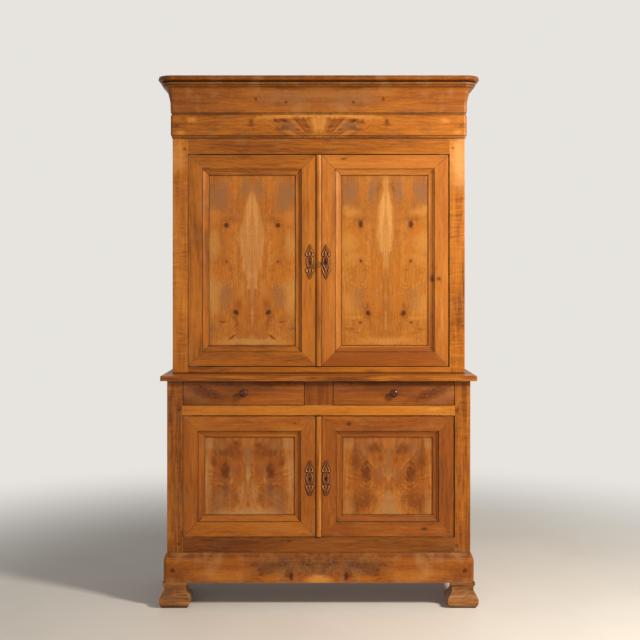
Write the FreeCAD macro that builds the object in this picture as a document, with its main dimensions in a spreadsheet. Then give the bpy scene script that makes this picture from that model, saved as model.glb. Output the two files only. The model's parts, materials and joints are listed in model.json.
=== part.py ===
import FreeCAD, Part
import math
import os
import re
import Sketcher
from FreeCAD import Placement, Rotation, Vector

# Two-part cupboard: a lower case with two drawers above two doors, a ledge, and a shallower
# upper case with two tall doors under a frieze and a moulded crown.
# Millimetres. +Z is up, the front looks towards -Y, and x = 0 is the middle of the width.

# Driving sizes
SIZES = {
    # Widths and depths of the two cases
    "lower_width": 1364,
    "lower_depth": 560,
    "upper_width": 1344,
    "upper_depth": 445,
    "post_width": 70,
    "post_depth": 50,
    "post_edge_radius": 3,
    # Heights, from the floor up
    "foot_height": 112,
    "plinth_height": 133,
    "bottom_rail_height": 67,
    "lower_door_height": 540,
    "door_gap_low": 4,
    "door_gap_high": 5,
    "drawer_rail_height": 44,
    "drawer_opening_height": 112,
    "ledge_thickness": 23,
    "upper_bottom_rail_height": 30,
    "upper_door_height": 971,
    "top_rail_height": 74,
    "frieze_height": 115,
    "crown_height": 161,
    # Front feet, square in plan
    "foot_sole_width": 110,
    "foot_bulge_width": 138,
    "foot_shoulder_width": 117,
    "foot_neck_width": 96,
    "foot_collar_width": 109,
    # Plinth, frieze and crown boards
    "plinth_proud": 15,
    "plinth_cap_height": 33,
    "rail_lap": 55,
    "frieze_thickness": 13,
    "frieze_proud": 9,
    "crown_overhang": 65,
    "inner_corner_radius": 1,
    "moulding_back_gap": 2,
    # Ledge
    "ledge_width": 1420,
    "ledge_overhang": 30,
    "ledge_corner_radius": 9,
    "ledge_edge_bevel": 3,
    # Rails and panels of the sides
    "side_rail_thickness": 25,
    "side_rail_height": 90,
    "lower_side_rail_height": 140,
    "side_panel_thickness": 12,
    "side_panel_inset": 8,
    "groove_depth": 9,
    "panel_play": 2,
    # Stops, floors, shelves and backs
    "stop_lip": 10,
    "stop_clearance": 0.5,
    "stop_relief_length": 24,
    "stop_relief_depth": 2,
    "board_thickness": 18,
    "floor_rise": 8,
    "shelf_setback": 0.5,
    "batten_size": 20,
    "batten_lap": 12,
    "back_thickness": 15,
    "back_recess": 5,
    "plank_joint": 0.6,
    # Cornice frame
    "ceiling_thickness": 15,
    "ceiling_play": 4,
    "frame_thickness": 22,
    "dust_board_thickness": 12,
    "dust_board_drop": 8,
    # Drawers
    "divider_width": 126,
    "divider_thickness": 25,
    "drawer_gap": 3,
    "drawer_gap_high": 4,
    "drawer_front_thickness": 22,
    "drawer_depth": 500,
    "drawer_side_inset": 3,
    "drawer_side_thickness": 12,
    "drawer_side_drop": 5,
    "drawer_bottom_thickness": 8,
    "drawer_bottom_rise": 8,
    "drawer_back_drop": 8,
    "runner_height": 22,
    "runner_lap": 22,
    "runner_clearance": 0.3,
    "guide_height": 32,
    "centre_runner_width": 200,
    # Drawer knobs
    "knob_diameter": 36,
    "knob_neck_diameter": 15,
    "knob_base_diameter": 24,
    "knob_length": 28,
    # Doors
    "door_thickness": 27,
    "upper_member_width": 93,
    "lower_member_width": 95,
    "door_moulding_width": 29,
    "door_panel_recess": 14,
    "door_panel_thickness": 8,
    "door_groove_depth": 10,
    "left_hinge_gap": 2.5,
    "right_hinge_gap": 6,
    "meeting_gap": 3.5,
    "astragal_width": 23,
    "astragal_shoulder": 3,
    "astragal_proud": 8,
    # Pivot hinges
    "pivot_plate_length": 46,
    "pivot_plate_width": 12,
    "pivot_plate_thickness": 1.8,
    "pivot_plate_setback": 0.8,
    "pivot_inset": 8,
    "pivot_depth": 6,
    "pivot_pin_radius": 2.5,
    "pivot_clearance": 0.05,
    "pivot_pin_shortfall": 0.2,
    # Escutcheons
    "escutcheon_height": 155,
    "escutcheon_width": 36,
    "escutcheon_thickness": 2.4,
    "left_escutcheon_offset": 41,
    "keyhole_offset": 33,
    "upper_lock_height": 479,
    "lower_lock_height": 263,
    "keyhole_radius": 5,
    "keyhole_slot_width": 4.4,
    "keyhole_slot_length": 13.5,
    # Locks
    "lock_length": 70,
    "lock_inset": 3,
    "lock_rise": 48,
    "lock_drop": 40,
    "lock_depth": 15,
    "lock_wall": 2,
    "lock_pin_radius": 2,
    "lock_pin_reach": 20,
    "bolt_length": 54,
    "bolt_height": 16,
    "bolt_thickness": 9,
    "bolt_rise": 14,
    "bolt_setback": 2.5,
    "bolt_clearance": 0.3,
    # Key
    "key_barrel_radius": 3.5,
    "key_clearance": 0.05,
    "key_reach": 24,
    "key_bow_radius": 10,
    "key_bow_width": 4.8,
    "key_bow_thickness": 4.4,
    "key_collar_radius": 5.2,
    "key_collar_length": 5,
    "key_bit_length": 8,
    "key_bit_drop": 12,
    "key_bit_thickness": 3,
    "key_end_gap": 0.8,
    # Slide latches of the left doors
    "latch_length": 150,
    "latch_width": 12,
    "latch_thickness": 7,
    "latch_throw": 18,
    "latch_gap": 2,
    "latch_clearance": 0.3,
    "latch_offset": 46,
    "latch_socket_play": 1.5,
    "staple_wall": 3,
    "staple_height": 14,
    "staple_from_top": 12,
    "staple_spacing": 86,
    "latch_grip_size": 8,
    "latch_grip_length": 12,
}

# Counts
UPPER_SHELF_COUNT = 3
LOWER_SHELF_COUNT = 1
PLANK_COUNT = 6

# Places worked out from the driving sizes
PLACES = {
    "back_face": "(lower_depth + ledge_overhang) / 2",
    "lower_front": "back_face - lower_depth",
    "upper_front": "back_face - upper_depth",
    "ledge_front": "lower_front - ledge_overhang",
    "lower_side": "lower_width / 2",
    "upper_side": "upper_width / 2",
    "lower_opening": "lower_side - post_width",
    "upper_opening": "upper_side - post_width",
    "plinth_top": "foot_height + plinth_height",
    "lower_sill": "plinth_top + bottom_rail_height",
    "lower_door_low": "lower_sill + door_gap_low",
    "lower_door_high": "lower_door_low + lower_door_height",
    "lower_lintel": "lower_door_high + door_gap_high",
    "drawer_rail_top": "lower_lintel + drawer_rail_height",
    "ledge_low": "drawer_rail_top + drawer_opening_height",
    "ledge_top": "ledge_low + ledge_thickness",
    "upper_sill": "ledge_top + upper_bottom_rail_height",
    "upper_door_low": "upper_sill + door_gap_low",
    "upper_door_high": "upper_door_low + upper_door_height",
    "upper_lintel": "upper_door_high + door_gap_high",
    "frieze_low": "upper_lintel + top_rail_height",
    "crown_low": "frieze_low + frieze_height",
    "crown_top": "crown_low + crown_height",
    "stop_depth": "door_thickness + stop_clearance",
    "back_low": "back_face - back_recess - back_thickness",
    "back_high": "back_face - back_recess",
    "rear_post_front": "back_face - post_depth",
    "ring_side": "upper_side + frieze_proud - frieze_thickness",
    "ring_front": "upper_front - frieze_proud + frieze_thickness",
    "crown_reach": "crown_overhang + frieze_thickness - frieze_proud",
    "ceiling_top": "frieze_low + ceiling_thickness",
    "frame_top": "crown_top - dust_board_drop - dust_board_thickness",
    "astragal_left": "-astragal_width / 2",
    "astragal_right": "astragal_width / 2",
    "drawer_low": "drawer_rail_top + drawer_gap",
    "drawer_high": "ledge_low - drawer_gap_high",
    "drawer_inner": "divider_width / 2 + drawer_gap",
    "drawer_outer": "lower_opening - drawer_gap",
    "runner_top": "drawer_low - runner_clearance",
    "upper_key_height": "upper_door_low + upper_lock_height",
    "lower_key_height": "lower_door_low + lower_lock_height",
}

# Outlines as shares of the sizes they follow: across, along, and how the line gets there.
# An arc's centre is plumb (same across) or level (same along) with its start or its end.
CROWN_SHARES = (
    (0, 0, "line"),
    (0.19, 0, "line"),
    (0.22, 0.3, "line"),
    (0.36, 0.56, "line"),
    (0.69, 0.72, "level_start"),
    (0.69, 0.76, "line"),
    (0.78, 0.78, "line"),
    (0.78, 0.825, "line"),
    (0.69, 0.845, "line"),
    (0.86, 0.872, "line"),
    (1, 0.935, "level_end"),
    (0.95, 1, "line"),
    (0, 1, "line"),
)
FRIEZE_SHARES = (
    (0, 0, "line"),
    (0.69, 0, "line"),
    (0.69, 0.085, "line"),
    (1, 0.1, "line"),
    (1, 0.895, "line"),
    (0.69, 0.91, "line"),
    (0.69, 1, "line"),
    (0, 1, "line"),
)
PLINTH_CAP_SHARES = (
    (1, 0, "line"),
    (0.88, 0.06, "line"),
    (0.64, 0.45, "level_start"),
    (0.14, 0.96, "line"),
    (0, 1, "line"),
)
DOOR_MOULDING_SHARES = (
    (0, 0, "line"),
    (0, 0.2, "line"),
    (0.31, 0.55, "plumb_start"),
    (0.74, 0.8, "plumb_end"),
    (0.88, 0.8, "line"),
    (1, 1, "line"),
)
KNOB_SHARES = (
    (0, 0, "line"),
    (0.64, 0, "line"),
    (0.42, 0.18, "line"),
    (0.46, 0.42, "line"),
    (1, 0.66, "line"),
    (0.72, 0.94, "line"),
    (0, 1, "line"),
)
# Heights on the foot, as shares of its height
FOOT_BULGE_SHARE = 0.285
FOOT_SHOULDER_SHARE = 0.5
FOOT_NECK_SHARE = 0.715
FOOT_COLLAR_SHARE = 0.9
# Right half of an escutcheon, from its bottom tip to its top tip
ESCUTCHEON_SHARES = (
    (0, -0.5, "line"),
    (0.13, -0.47, "line"),
    (0.34, -0.29, "line"),
    (0.5, -0.235, "line"),
    (0.22, -0.17, "line"),
    (0.42, 0, "level_end"),
    (0.22, 0.17, "level_start"),
    (0.5, 0.225, "line"),
    (0.34, 0.29, "line"),
    (0.12, 0.47, "line"),
    (0, 0.5, "line"),
)
# Diamond piercings of an escutcheon: across, along, and side as a share of its width
PIERCING_SHARES = (
    (0.2, 0.22, 0.15),
    (0.2, -0.23, 0.15),
)

X_AXIS = Vector(1, 0, 0)
Y_AXIS = Vector(0, 1, 0)
Z_AXIS = Vector(0, 0, 1)
NO_TURN = Rotation()

doc = FreeCAD.newDocument("cupboard")
sheet = doc.addObject("Spreadsheet::Sheet", "Sizes")
for row, (alias, number) in enumerate(SIZES.items(), start=1):
    sheet.set(f"A{row}", alias)
    sheet.set(f"B{row}", str(number))
    sheet.setAlias(f"B{row}", alias)
doc.recompute()

nodes = {}


def formula(text):
    """Write a text of size and place names as an expression on the sheet."""

    def expand(match):
        word = match.group(0)
        if word in PLACES:
            return "(" + formula(PLACES[word]) + ")"
        if word in SIZES:
            return "Sizes." + word
        return word

    return re.sub(r"[a-z][a-z_]+", expand, str(text))


def size_of(text):
    """The number, in millimetres, that a text of names stands for now."""
    return float(sheet.evalExpression(formula(text)))


def bind(thing, **texts):
    for name, text in texts.items():
        thing.setExpression(name, formula(text))


def put_at(thing, x=None, y=None, z=None, turn=NO_TURN):
    """Turn a thing, then tie its place to the sheet."""
    thing.Placement = Placement(Vector(), turn)
    for axis, text in (("x", x), ("y", y), ("z", z)):
        if text is not None:
            thing.setExpression(".Placement.Base." + axis, formula(text))
    return thing


def board(name, x, y, z):
    """A block between two named places on each axis."""
    block = doc.addObject("Part::Box", name)
    bind(block, Length=f"({x[1]}) - ({x[0]})", Width=f"({y[1]}) - ({y[0]})", Height=f"({z[1]}) - ({z[0]})")
    return put_at(block, x[0], y[0], z[0])


def rod(name, radius, length, at, turn=NO_TURN):
    cylinder = doc.addObject("Part::Cylinder", name)
    bind(cylinder, Radius=radius, Height=length)
    return put_at(cylinder, *at, turn=turn)


def cut(name, base, *tools):
    """Cut tools from a base."""
    result = doc.addObject("Part::Cut", name)
    result.Base = base
    result.Tool = tools[0] if len(tools) == 1 else group(name + "_tools", tools)
    return result


def fuse(name, *pieces):
    result = doc.addObject("Part::MultiFuse", name)
    result.Shapes = list(pieces)
    result.Refine = True
    return result


def group(name, pieces):
    result = doc.addObject("Part::Compound", name)
    result.Links = list(pieces)
    return result


def mirrored(name, source, normal=X_AXIS, **base):
    """Mirror a thing about a plane; base gives the plane's place where it isn't zero."""
    result = doc.addObject("Part::Mirroring", name)
    result.Source = source
    result.Normal = normal
    for axis, text in base.items():
        result.setExpression("Base." + axis, formula(text))
    return result


def node(label, *pieces):
    """Name a finished sub-part; several pieces of one kind share a node as separate solids."""
    thing = pieces[0] if len(pieces) == 1 else group(label + "_set", pieces)
    thing.Label = label
    nodes[label] = thing
    return thing


def both_sides(label, *right):
    """A node of the right-hand pieces and their mirror images."""
    one_side = right[0] if len(right) == 1 else group(label + "_right", right)
    return node(label, one_side, mirrored(label + "_left", one_side))


def rounded(name, base, radius, chosen, kind="Part::Fillet"):
    """Round or bevel the edges of a base that a test picks."""
    doc.recompute()
    result = doc.addObject(kind, name)
    result.Base = base
    length = size_of(radius)
    result.Edges = [(i, length, length) for i, edge in enumerate(base.Shape.Edges, start=1) if chosen(edge)]
    return result


def runs_along(edge, axis):
    ends = [vertex.Point for vertex in edge.Vertexes]
    return len(ends) == 2 and abs(abs((ends[1] - ends[0]).normalize().dot(axis)) - 1) < 0.001


def arc_centre(start, end, kind):
    """Centre of the arc from start to end that is plumb or level with one of them."""
    anchor, other = (start, end) if kind.endswith("start") else (end, start)
    across = other[0] - anchor[0]
    along = other[1] - anchor[1]
    if kind.startswith("plumb"):
        return (anchor[0], anchor[1] + (across ** 2 + along ** 2) / (2 * along))
    return (anchor[0] + (across ** 2 + along ** 2) / (2 * across), anchor[1])


def outline(sketch, points):
    """Draw a closed outline in a sketch, with each corner tied to the sheet."""
    corners = [(size_of(across), size_of(along)) for across, along, kind in points]
    count = len(points)
    starts = []
    ends = []
    for i in range(count):
        start = corners[i]
        end = corners[(i + 1) % count]
        kind = points[(i + 1) % count][2]
        if kind == "line":
            sketch.addGeometry(Part.LineSegment(Vector(*start, 0), Vector(*end, 0)), False)
            starts.append(1)
            ends.append(2)
            continue
        centre = arc_centre(start, end, kind)
        radius = math.dist(centre, start)
        first = math.atan2(start[1] - centre[1], start[0] - centre[0])
        last = math.atan2(end[1] - centre[1], end[0] - centre[0])
        forward = (last - first) % math.tau < math.pi
        if not forward:
            first, last = last, first
        circle = Part.Circle(Vector(*centre, 0), Z_AXIS, radius)
        sketch.addGeometry(Part.ArcOfCircle(circle, first, last), False)
        starts.append(1 if forward else 2)
        ends.append(2 if forward else 1)
    for i in range(count):
        after = (i + 1) % count
        sketch.addConstraint(Sketcher.Constraint("Coincident", i, ends[i], after, starts[after]))
        kind = points[after][2]
        if kind != "line":
            side = starts[i] if kind.endswith("start") else ends[i]
            direction = "Vertical" if kind.startswith("plumb") else "Horizontal"
            sketch.addConstraint(Sketcher.Constraint(direction, i, 3, i, side))
    for i in range(count):
        for which, direction in enumerate(("DistanceX", "DistanceY")):
            held = sketch.addConstraint(Sketcher.Constraint(direction, -1, 1, i, starts[i], corners[i][which]))
            sketch.setExpression(f"Constraints[{held}]", formula(points[i][which]))
    return sketch


def loose_outline(name, points):
    return outline(doc.addObject("Sketcher::SketchObject", name), points)


def scaled(shares, width, height, width_from="0", height_from="0"):
    """Turn an outline's shares into texts of named sizes."""
    return [
        (f"{width_from} + ({width}) * {across}", f"{height_from} + ({height}) * {along}", kind)
        for across, along, kind in shares
    ]


def extruded(name, sketch, direction, length):
    result = doc.addObject("Part::Extrusion", name)
    result.Base = sketch
    result.DirMode = "Custom"
    result.Dir = direction
    result.Solid = True
    bind(result, LengthFwd=length)
    return result


def turned_about(name, sketch, angle, x, y):
    """Turn a section about an upright axis, to carry a moulding round a corner."""
    result = doc.addObject("Part::Revolution", name)
    result.Source = sketch
    result.Axis = Z_AXIS
    result.Angle = angle
    result.Solid = True
    result.setExpression("Base.x", formula(x))
    result.setExpression("Base.y", formula(y))
    return result


# Sections of the mouldings are drawn outwards and upwards
FRONT_SECTION = Rotation(Vector(0, -1, 0), Z_AXIS, Vector(-1, 0, 0), "XYZ")
SIDE_SECTION = Rotation(X_AXIS, Z_AXIS, Vector(0, -1, 0), "XYZ")
MITRE_ANGLE = 45


def moulding_ring(label, points, side, front, low):
    """A front board and two side boards, mitred in the middle of rounded corners."""
    corner_x = f"{side} - inner_corner_radius"
    corner_y = f"{front} + inner_corner_radius"
    front_section = put_at(loose_outline(label + "_front_section", points), corner_x, front, low, FRONT_SECTION)
    side_section = put_at(loose_outline(label + "_side_section", points), side, corner_y, low, SIDE_SECTION)
    straight = extruded(label + "_front_run", front_section, Vector(-1, 0, 0), f"2 * ({corner_x})")
    corner = turned_about(label + "_front_corner", front_section, MITRE_ANGLE, corner_x, corner_y)
    front_board = fuse(label + "_front", straight, corner, mirrored(label + "_front_corner_left", corner))
    side_length = f"back_face - moulding_back_gap - ({corner_y})"
    side_run = extruded(label + "_side_run", side_section, Y_AXIS, side_length)
    side_corner = turned_about(label + "_side_corner", side_section, -MITRE_ANGLE, corner_x, corner_y)
    side_board = fuse(label + "_side", side_run, side_corner)
    return node(label, front_board, side_board, mirrored(label + "_side_left", side_board))


# Feet and plinth
def front_feet():
    """Square blocks with a collar, a hollow neck and a swelling foot."""
    half = [
        ("0", "0", "line"),
        ("foot_sole_width / 2", "0", "line"),
        ("foot_bulge_width / 2", f"foot_height * {FOOT_BULGE_SHARE}", "level_end"),
        ("foot_shoulder_width / 2", f"foot_height * {FOOT_SHOULDER_SHARE}", "level_start"),
        ("foot_neck_width / 2", f"foot_height * {FOOT_NECK_SHARE}", "level_end"),
        ("foot_collar_width / 2 - panel_play", f"foot_height * {FOOT_COLLAR_SHARE}", "level_start"),
        ("foot_collar_width / 2", f"foot_height * {FOOT_COLLAR_SHARE}", "line"),
        ("foot_collar_width / 2", "foot_height", "line"),
        ("0", "foot_height", "line"),
    ]
    centre_x = "lower_side + plinth_proud + panel_play * 2 - foot_collar_width / 2"
    centre_y = "lower_front - plinth_proud + foot_collar_width / 2"
    slabs = []
    for name, turn in (("across", SIDE_SECTION), ("along", FRONT_SECTION)):
        section = put_at(loose_outline("foot_section_" + name, half), centre_x, centre_y, "0", turn)
        normal = turn.multVec(Z_AXIS)
        slab = extruded("foot_half_" + name, section, normal, "foot_bulge_width")
        slab.Symmetric = True
        plane = {"x": centre_x} if name == "across" else {"y": centre_y}
        opposite = mirrored("foot_other_half_" + name, slab, turn.multVec(X_AXIS), **plane)
        slabs.append(fuse("foot_slab_" + name, slab, opposite))
    foot = doc.addObject("Part::MultiCommon", "foot")
    foot.Shapes = slabs
    both_sides("front_feet", foot)


def plinth():
    face_height = "plinth_height - plinth_cap_height"
    points = [("0", "0", "line"), ("plinth_proud", "0", "line")]
    points += scaled(PLINTH_CAP_SHARES, "plinth_proud", "plinth_cap_height", height_from=face_height)
    moulding_ring("plinth_boards", points, "lower_side", "lower_front", "foot_height")


# Cases
def side_frames(prefix, side, opening, front, post_foot, rear_foot, top, rails):
    """Posts, rails and grooved panels of both sides; rails are (low, high) places, from the bottom."""
    panel_x = (f"{side} - side_panel_inset - side_panel_thickness", f"{side} - side_panel_inset")
    gap_y = (f"{front} + post_depth", "rear_post_front")
    reach = "(groove_depth - panel_play)"
    grooves = []
    panels = []
    for i in range(len(rails) - 1):
        low = rails[i][1]
        high = rails[i + 1][0]
        grooves.append(board(
            f"{prefix}_groove_{i}", panel_x,
            (f"{gap_y[0]} - groove_depth", f"{gap_y[1]} + groove_depth"),
            (f"{low} - groove_depth", f"{high} + groove_depth"),
        ))
        panels.append(board(
            f"{prefix}_side_panel_{i}", panel_x,
            (f"{gap_y[0]} - {reach}", f"{gap_y[1]} + {reach}"),
            (f"{low} - {reach}", f"{high} + {reach}"),
        ))
    front_post = board(f"{prefix}_front_post", (opening, side), (front, f"{front} + post_depth"), (post_foot, top))
    rear_post = board(f"{prefix}_rear_post", (opening, side), ("rear_post_front", "back_face"), (rear_foot, top))
    corner_x = size_of(side)
    corner_y = size_of(front)
    eased = rounded(
        f"{prefix}_front_post_eased", front_post, "post_edge_radius",
        lambda edge: runs_along(edge, Z_AXIS) and edge.distToShape(
            Part.Vertex(corner_x, corner_y, edge.CenterOfMass.z))[0] < 0.01,
    )
    both_sides(f"{prefix}_front_posts", cut(f"{prefix}_front_post_grooved", eased, *grooves))
    both_sides(f"{prefix}_rear_posts", cut(f"{prefix}_rear_post_grooved", rear_post, *grooves))
    rail_x = (f"{side} - side_rail_thickness", side)
    blanks = [board(f"{prefix}_side_rail_{i}", rail_x, gap_y, rail) for i, rail in enumerate(rails)]
    grooved = [cut(f"{prefix}_side_rail_grooved_{i}", blank, *grooves) for i, blank in enumerate(blanks)]
    both_sides(f"{prefix}_side_rails", *grooved)
    both_sides(f"{prefix}_side_panels", *panels)


def hinge_relief(name, opening, front, low, high):
    """Shallow cuts at both ends of a door stop, where the doors' back corners swing past it."""
    right = board(
        name, (f"{opening} - stop_relief_length", opening),
        (f"{front} + stop_depth", f"{front} + stop_depth + stop_relief_depth"), (low, high),
    )
    return [right, mirrored(name + "_left", right)]


def stopped_rail(name, opening, front, low, high, rebate_low, rebate_high, rebate_from, rebate_to):
    """A front rail with a rebate that leaves a stop or a seat along one edge."""
    across = (f"-({opening})", opening)
    blank = board(name + "_blank", across, (front, f"{front} + post_depth"), (low, high))
    rebate = board(name + "_rebate", across, (rebate_from, rebate_to), (rebate_low, rebate_high))
    return cut(name, blank, rebate)


def front_rails(prefix, opening, front, bottom_low, sill, lintel, top_high):
    stop = f"{front} + stop_depth"
    inner = f"{front} + post_depth"
    bottom = stopped_rail(
        f"{prefix}_bottom_rail", opening, front, bottom_low, sill,
        f"{sill} + floor_rise - board_thickness", sill, stop, inner,
    )
    top = stopped_rail(
        f"{prefix}_top_rail", opening, front, f"{lintel} - stop_lip", top_high,
        f"{lintel} - stop_lip", lintel, front, stop,
    )
    socket = board(
        f"{prefix}_latch_socket",
        (f"{LATCH_X} - latch_width / 2 - latch_socket_play", f"{LATCH_X} + latch_width / 2 + latch_socket_play"),
        (f"{front} + door_thickness", f"{front} + door_thickness + latch_thickness + 2 * latch_socket_play"),
        (f"{lintel} - stop_lip", f"{lintel} - stop_lip + latch_throw"),
    )
    relief = hinge_relief(f"{prefix}_top_relief", opening, front, f"{lintel} - stop_lip", lintel)
    node(f"{prefix}_front_rails", bottom, cut(f"{prefix}_top_rail_fitted", top, socket, *relief))


def shelf_board(name, side, opening, inset, front_edge, z, notch_fronts, cuts=()):
    """A board between the side rails, notched round the posts it passes."""
    blank = board(name + "_blank", (f"-({side} - {inset})", f"{side} - {inset}"), (front_edge, "back_low"), z)
    notches = list(cuts)
    for y in notch_fronts:
        right = board(f"{name}_notch_{len(notches)}", (opening, side), y, z)
        notches.append(right)
        notches.append(mirrored(f"{name}_notch_{len(notches)}", right))
    return cut(name, blank, *notches)


def shelving(prefix, side, opening, front, sill, ceiling, count):
    """A floor that also stops the doors, and evenly spaced shelves on battens."""
    inner = f"{front} + post_depth"
    floor_z = (f"{sill} + floor_rise - board_thickness", f"{sill} + floor_rise")
    rear_notch = ("rear_post_front", "back_low")
    floor = shelf_board(
        f"{prefix}_floor_board", side, opening, "side_rail_thickness", f"{front} + stop_depth", floor_z,
        ((f"{front} + stop_depth", inner), rear_notch),
        hinge_relief(f"{prefix}_floor_relief", opening, front, *floor_z),
    )
    boards = [floor]
    battens = []
    for i in range(count):
        share = (i + 1) / (count + 1)
        top = f"({sill} + floor_rise) + (({ceiling}) - ({sill} + floor_rise)) * {share}"
        low = f"{top} - board_thickness"
        boards.append(shelf_board(
            f"{prefix}_shelf_{i}", side, opening, "side_rail_thickness",
            f"{inner} + shelf_setback", (low, top), (rear_notch,),
        ))
        battens.append(board(
            f"{prefix}_batten_{i}", (f"{opening} - batten_size", opening),
            (f"{inner} - batten_lap", "back_low"), (f"{low} - batten_size", low),
        ))
    node(f"{prefix}_shelves", *boards)
    both_sides(f"{prefix}_shelf_battens", *battens)


def back_planks(prefix, opening, low, high):
    planks = []
    width = f"(2 * ({opening}) / {PLANK_COUNT})"
    for i in range(PLANK_COUNT):
        left = f"-({opening}) + {width} * {i} + plank_joint / 2"
        right = f"-({opening}) + {width} * {i + 1} - plank_joint / 2"
        planks.append(board(f"{prefix}_plank_{i}", (left, right), ("back_low", "back_high"), (low, high)))
    node(f"{prefix}_back", *planks)


def lower_case():
    rail_low = "plinth_top - rail_lap"
    side_frames(
        "lower", "lower_side", "lower_opening", "lower_front", "foot_height", "0", "ledge_low",
        ((rail_low, f"{rail_low} + lower_side_rail_height"), ("ledge_low - side_rail_height", "ledge_low")),
    )
    front_rails(
        "lower", "lower_opening", "lower_front", rail_low, "lower_sill", "lower_lintel", "drawer_rail_top"
    )
    back_planks("lower", "lower_opening", rail_low, "ledge_low")
    shelving(
        "lower", "lower_side", "lower_opening", "lower_front", "lower_sill", "runner_top - runner_height",
        LOWER_SHELF_COUNT,
    )


def upper_case():
    middle = "(ledge_top + frieze_low) / 2"
    side_frames(
        "upper", "upper_side", "upper_opening", "upper_front", "ledge_top", "ledge_top", "frieze_low",
        (
            ("ledge_top", "ledge_top + side_rail_height"),
            (f"{middle} - side_rail_height / 2", f"{middle} + side_rail_height / 2"),
            ("frieze_low - side_rail_height", "frieze_low"),
        ),
    )
    front_rails(
        "upper", "upper_opening", "upper_front", "ledge_top", "upper_sill", "upper_lintel", "frieze_low"
    )
    back_planks("upper", "upper_opening", "ledge_top", "frieze_low")
    shelving(
        "upper", "upper_side", "upper_opening", "upper_front", "upper_sill", "frieze_low", UPPER_SHELF_COUNT
    )


def ledge():
    """The board between the cases, with rounded front corners and bevelled edges."""
    across = ("-ledge_width / 2", "ledge_width / 2")
    slab = board("ledge_slab", across, ("ledge_front", "back_face"), ("ledge_low", "ledge_top"))
    front_y = size_of("ledge_front")
    back_y = size_of("back_face")
    top_z = size_of("ledge_top")
    cornered = rounded(
        "ledge_cornered", slab, "ledge_corner_radius",
        lambda edge: runs_along(edge, Z_AXIS) and abs(edge.CenterOfMass.y - front_y) < 0.01,
    )
    eased = rounded(
        "ledge_eased", cornered, "ledge_edge_bevel",
        lambda edge: abs(edge.CenterOfMass.y - back_y) > 0.01 and abs(edge.CenterOfMass.z - top_z) < 0.01,
        "Part::Chamfer",
    )
    node("ledge", eased)


# Frieze, crown and the frame behind them
def cornice():
    frieze = scaled(FRIEZE_SHARES, "frieze_thickness", "frieze_height")
    moulding_ring("frieze_boards", frieze, "ring_side", "ring_front", "frieze_low")
    crown = scaled(CROWN_SHARES, "crown_reach", "crown_height")
    moulding_ring("crown_moulding", crown, "ring_side", "ring_front", "crown_low")
    inside = "ring_side - ceiling_play"
    ceiling = board(
        "ceiling_board", (f"-({inside})", inside), ("ring_front + ceiling_play", "back_high"),
        ("frieze_low", "ceiling_top"),
    )
    node("upper_ceiling", ceiling)
    frame_z = ("ceiling_top", "frame_top")
    across = ("-(ring_side - inner_corner_radius)", "ring_side - inner_corner_radius")
    front = board("frame_front", across, ("ring_front", "ring_front + frame_thickness"), frame_z)
    rear = board("frame_rear", across, ("back_high - frame_thickness", "back_high"), frame_z)
    side_y = ("ring_front + frame_thickness", "back_high - frame_thickness")
    right = board("frame_right", ("ring_side - frame_thickness", "ring_side"), side_y, frame_z)
    dust_board = board(
        "dust_board", across, ("ring_front + inner_corner_radius", "back_high"),
        ("frame_top", "frame_top + dust_board_thickness"),
    )
    node("cornice_frame", front, rear, right, mirrored("frame_left", right), dust_board)


# Drawers
def drawers():
    front_y = ("lower_front", "lower_front + drawer_front_thickness")
    face = board("drawer_front", ("drawer_inner", "drawer_outer"), front_y, ("drawer_low", "drawer_high"))
    drawer_end = "lower_front + drawer_depth"
    side_z = ("drawer_low", "drawer_high - drawer_side_drop")
    side_y = (front_y[1], drawer_end)
    inner_x = ("drawer_inner + drawer_side_inset", "drawer_inner + drawer_side_inset + drawer_side_thickness")
    outer_x = ("drawer_outer - drawer_side_inset - drawer_side_thickness", "drawer_outer - drawer_side_inset")
    between = (inner_x[1], outer_x[0])
    bottom_low = "drawer_low + drawer_bottom_rise"
    bottom_high = f"{bottom_low} + drawer_bottom_thickness"
    back_y = (f"{drawer_end} - drawer_side_thickness", drawer_end)
    box = group("drawer_box", [
        board("drawer_inner_side", inner_x, side_y, side_z),
        board("drawer_outer_side", outer_x, side_y, side_z),
        board("drawer_back", between, back_y, (bottom_high, f"{side_z[1]} - drawer_back_drop")),
        board("drawer_bottom", between, side_y, (bottom_low, bottom_high)),
    ])
    turned = knob("(drawer_inner + drawer_outer) / 2")
    right_face = group("drawer_face", [face, turned])
    node("right_drawer_front", right_face)
    node("left_drawer_front", mirrored("drawer_face_left", right_face))
    node("right_drawer_box", box)
    node("left_drawer_box", mirrored("drawer_box_left", box))


def knob(x):
    """A turned knob with a foot ring, a hollow neck and a domed head."""
    body = doc.addObject("PartDesign::Body", "knob")
    sketch = body.newObject("Sketcher::SketchObject", "knob_profile")
    plane = [item for item in body.Origin.OriginFeatures if item.Role == "XY_Plane"][0]
    sketch.AttachmentSupport = (plane, [""])
    sketch.MapMode = "FlatFace"
    doc.recompute()
    outline(sketch, scaled(KNOB_SHARES, "knob_diameter / 2", "knob_length"))
    turning = body.newObject("PartDesign::Revolution", "knob_turning")
    turning.Profile = sketch
    turning.ReferenceAxis = (sketch, ["V_Axis"])
    return put_at(body, x, "lower_front", "(drawer_low + drawer_high) / 2", Rotation(Z_AXIS, 180))


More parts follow.
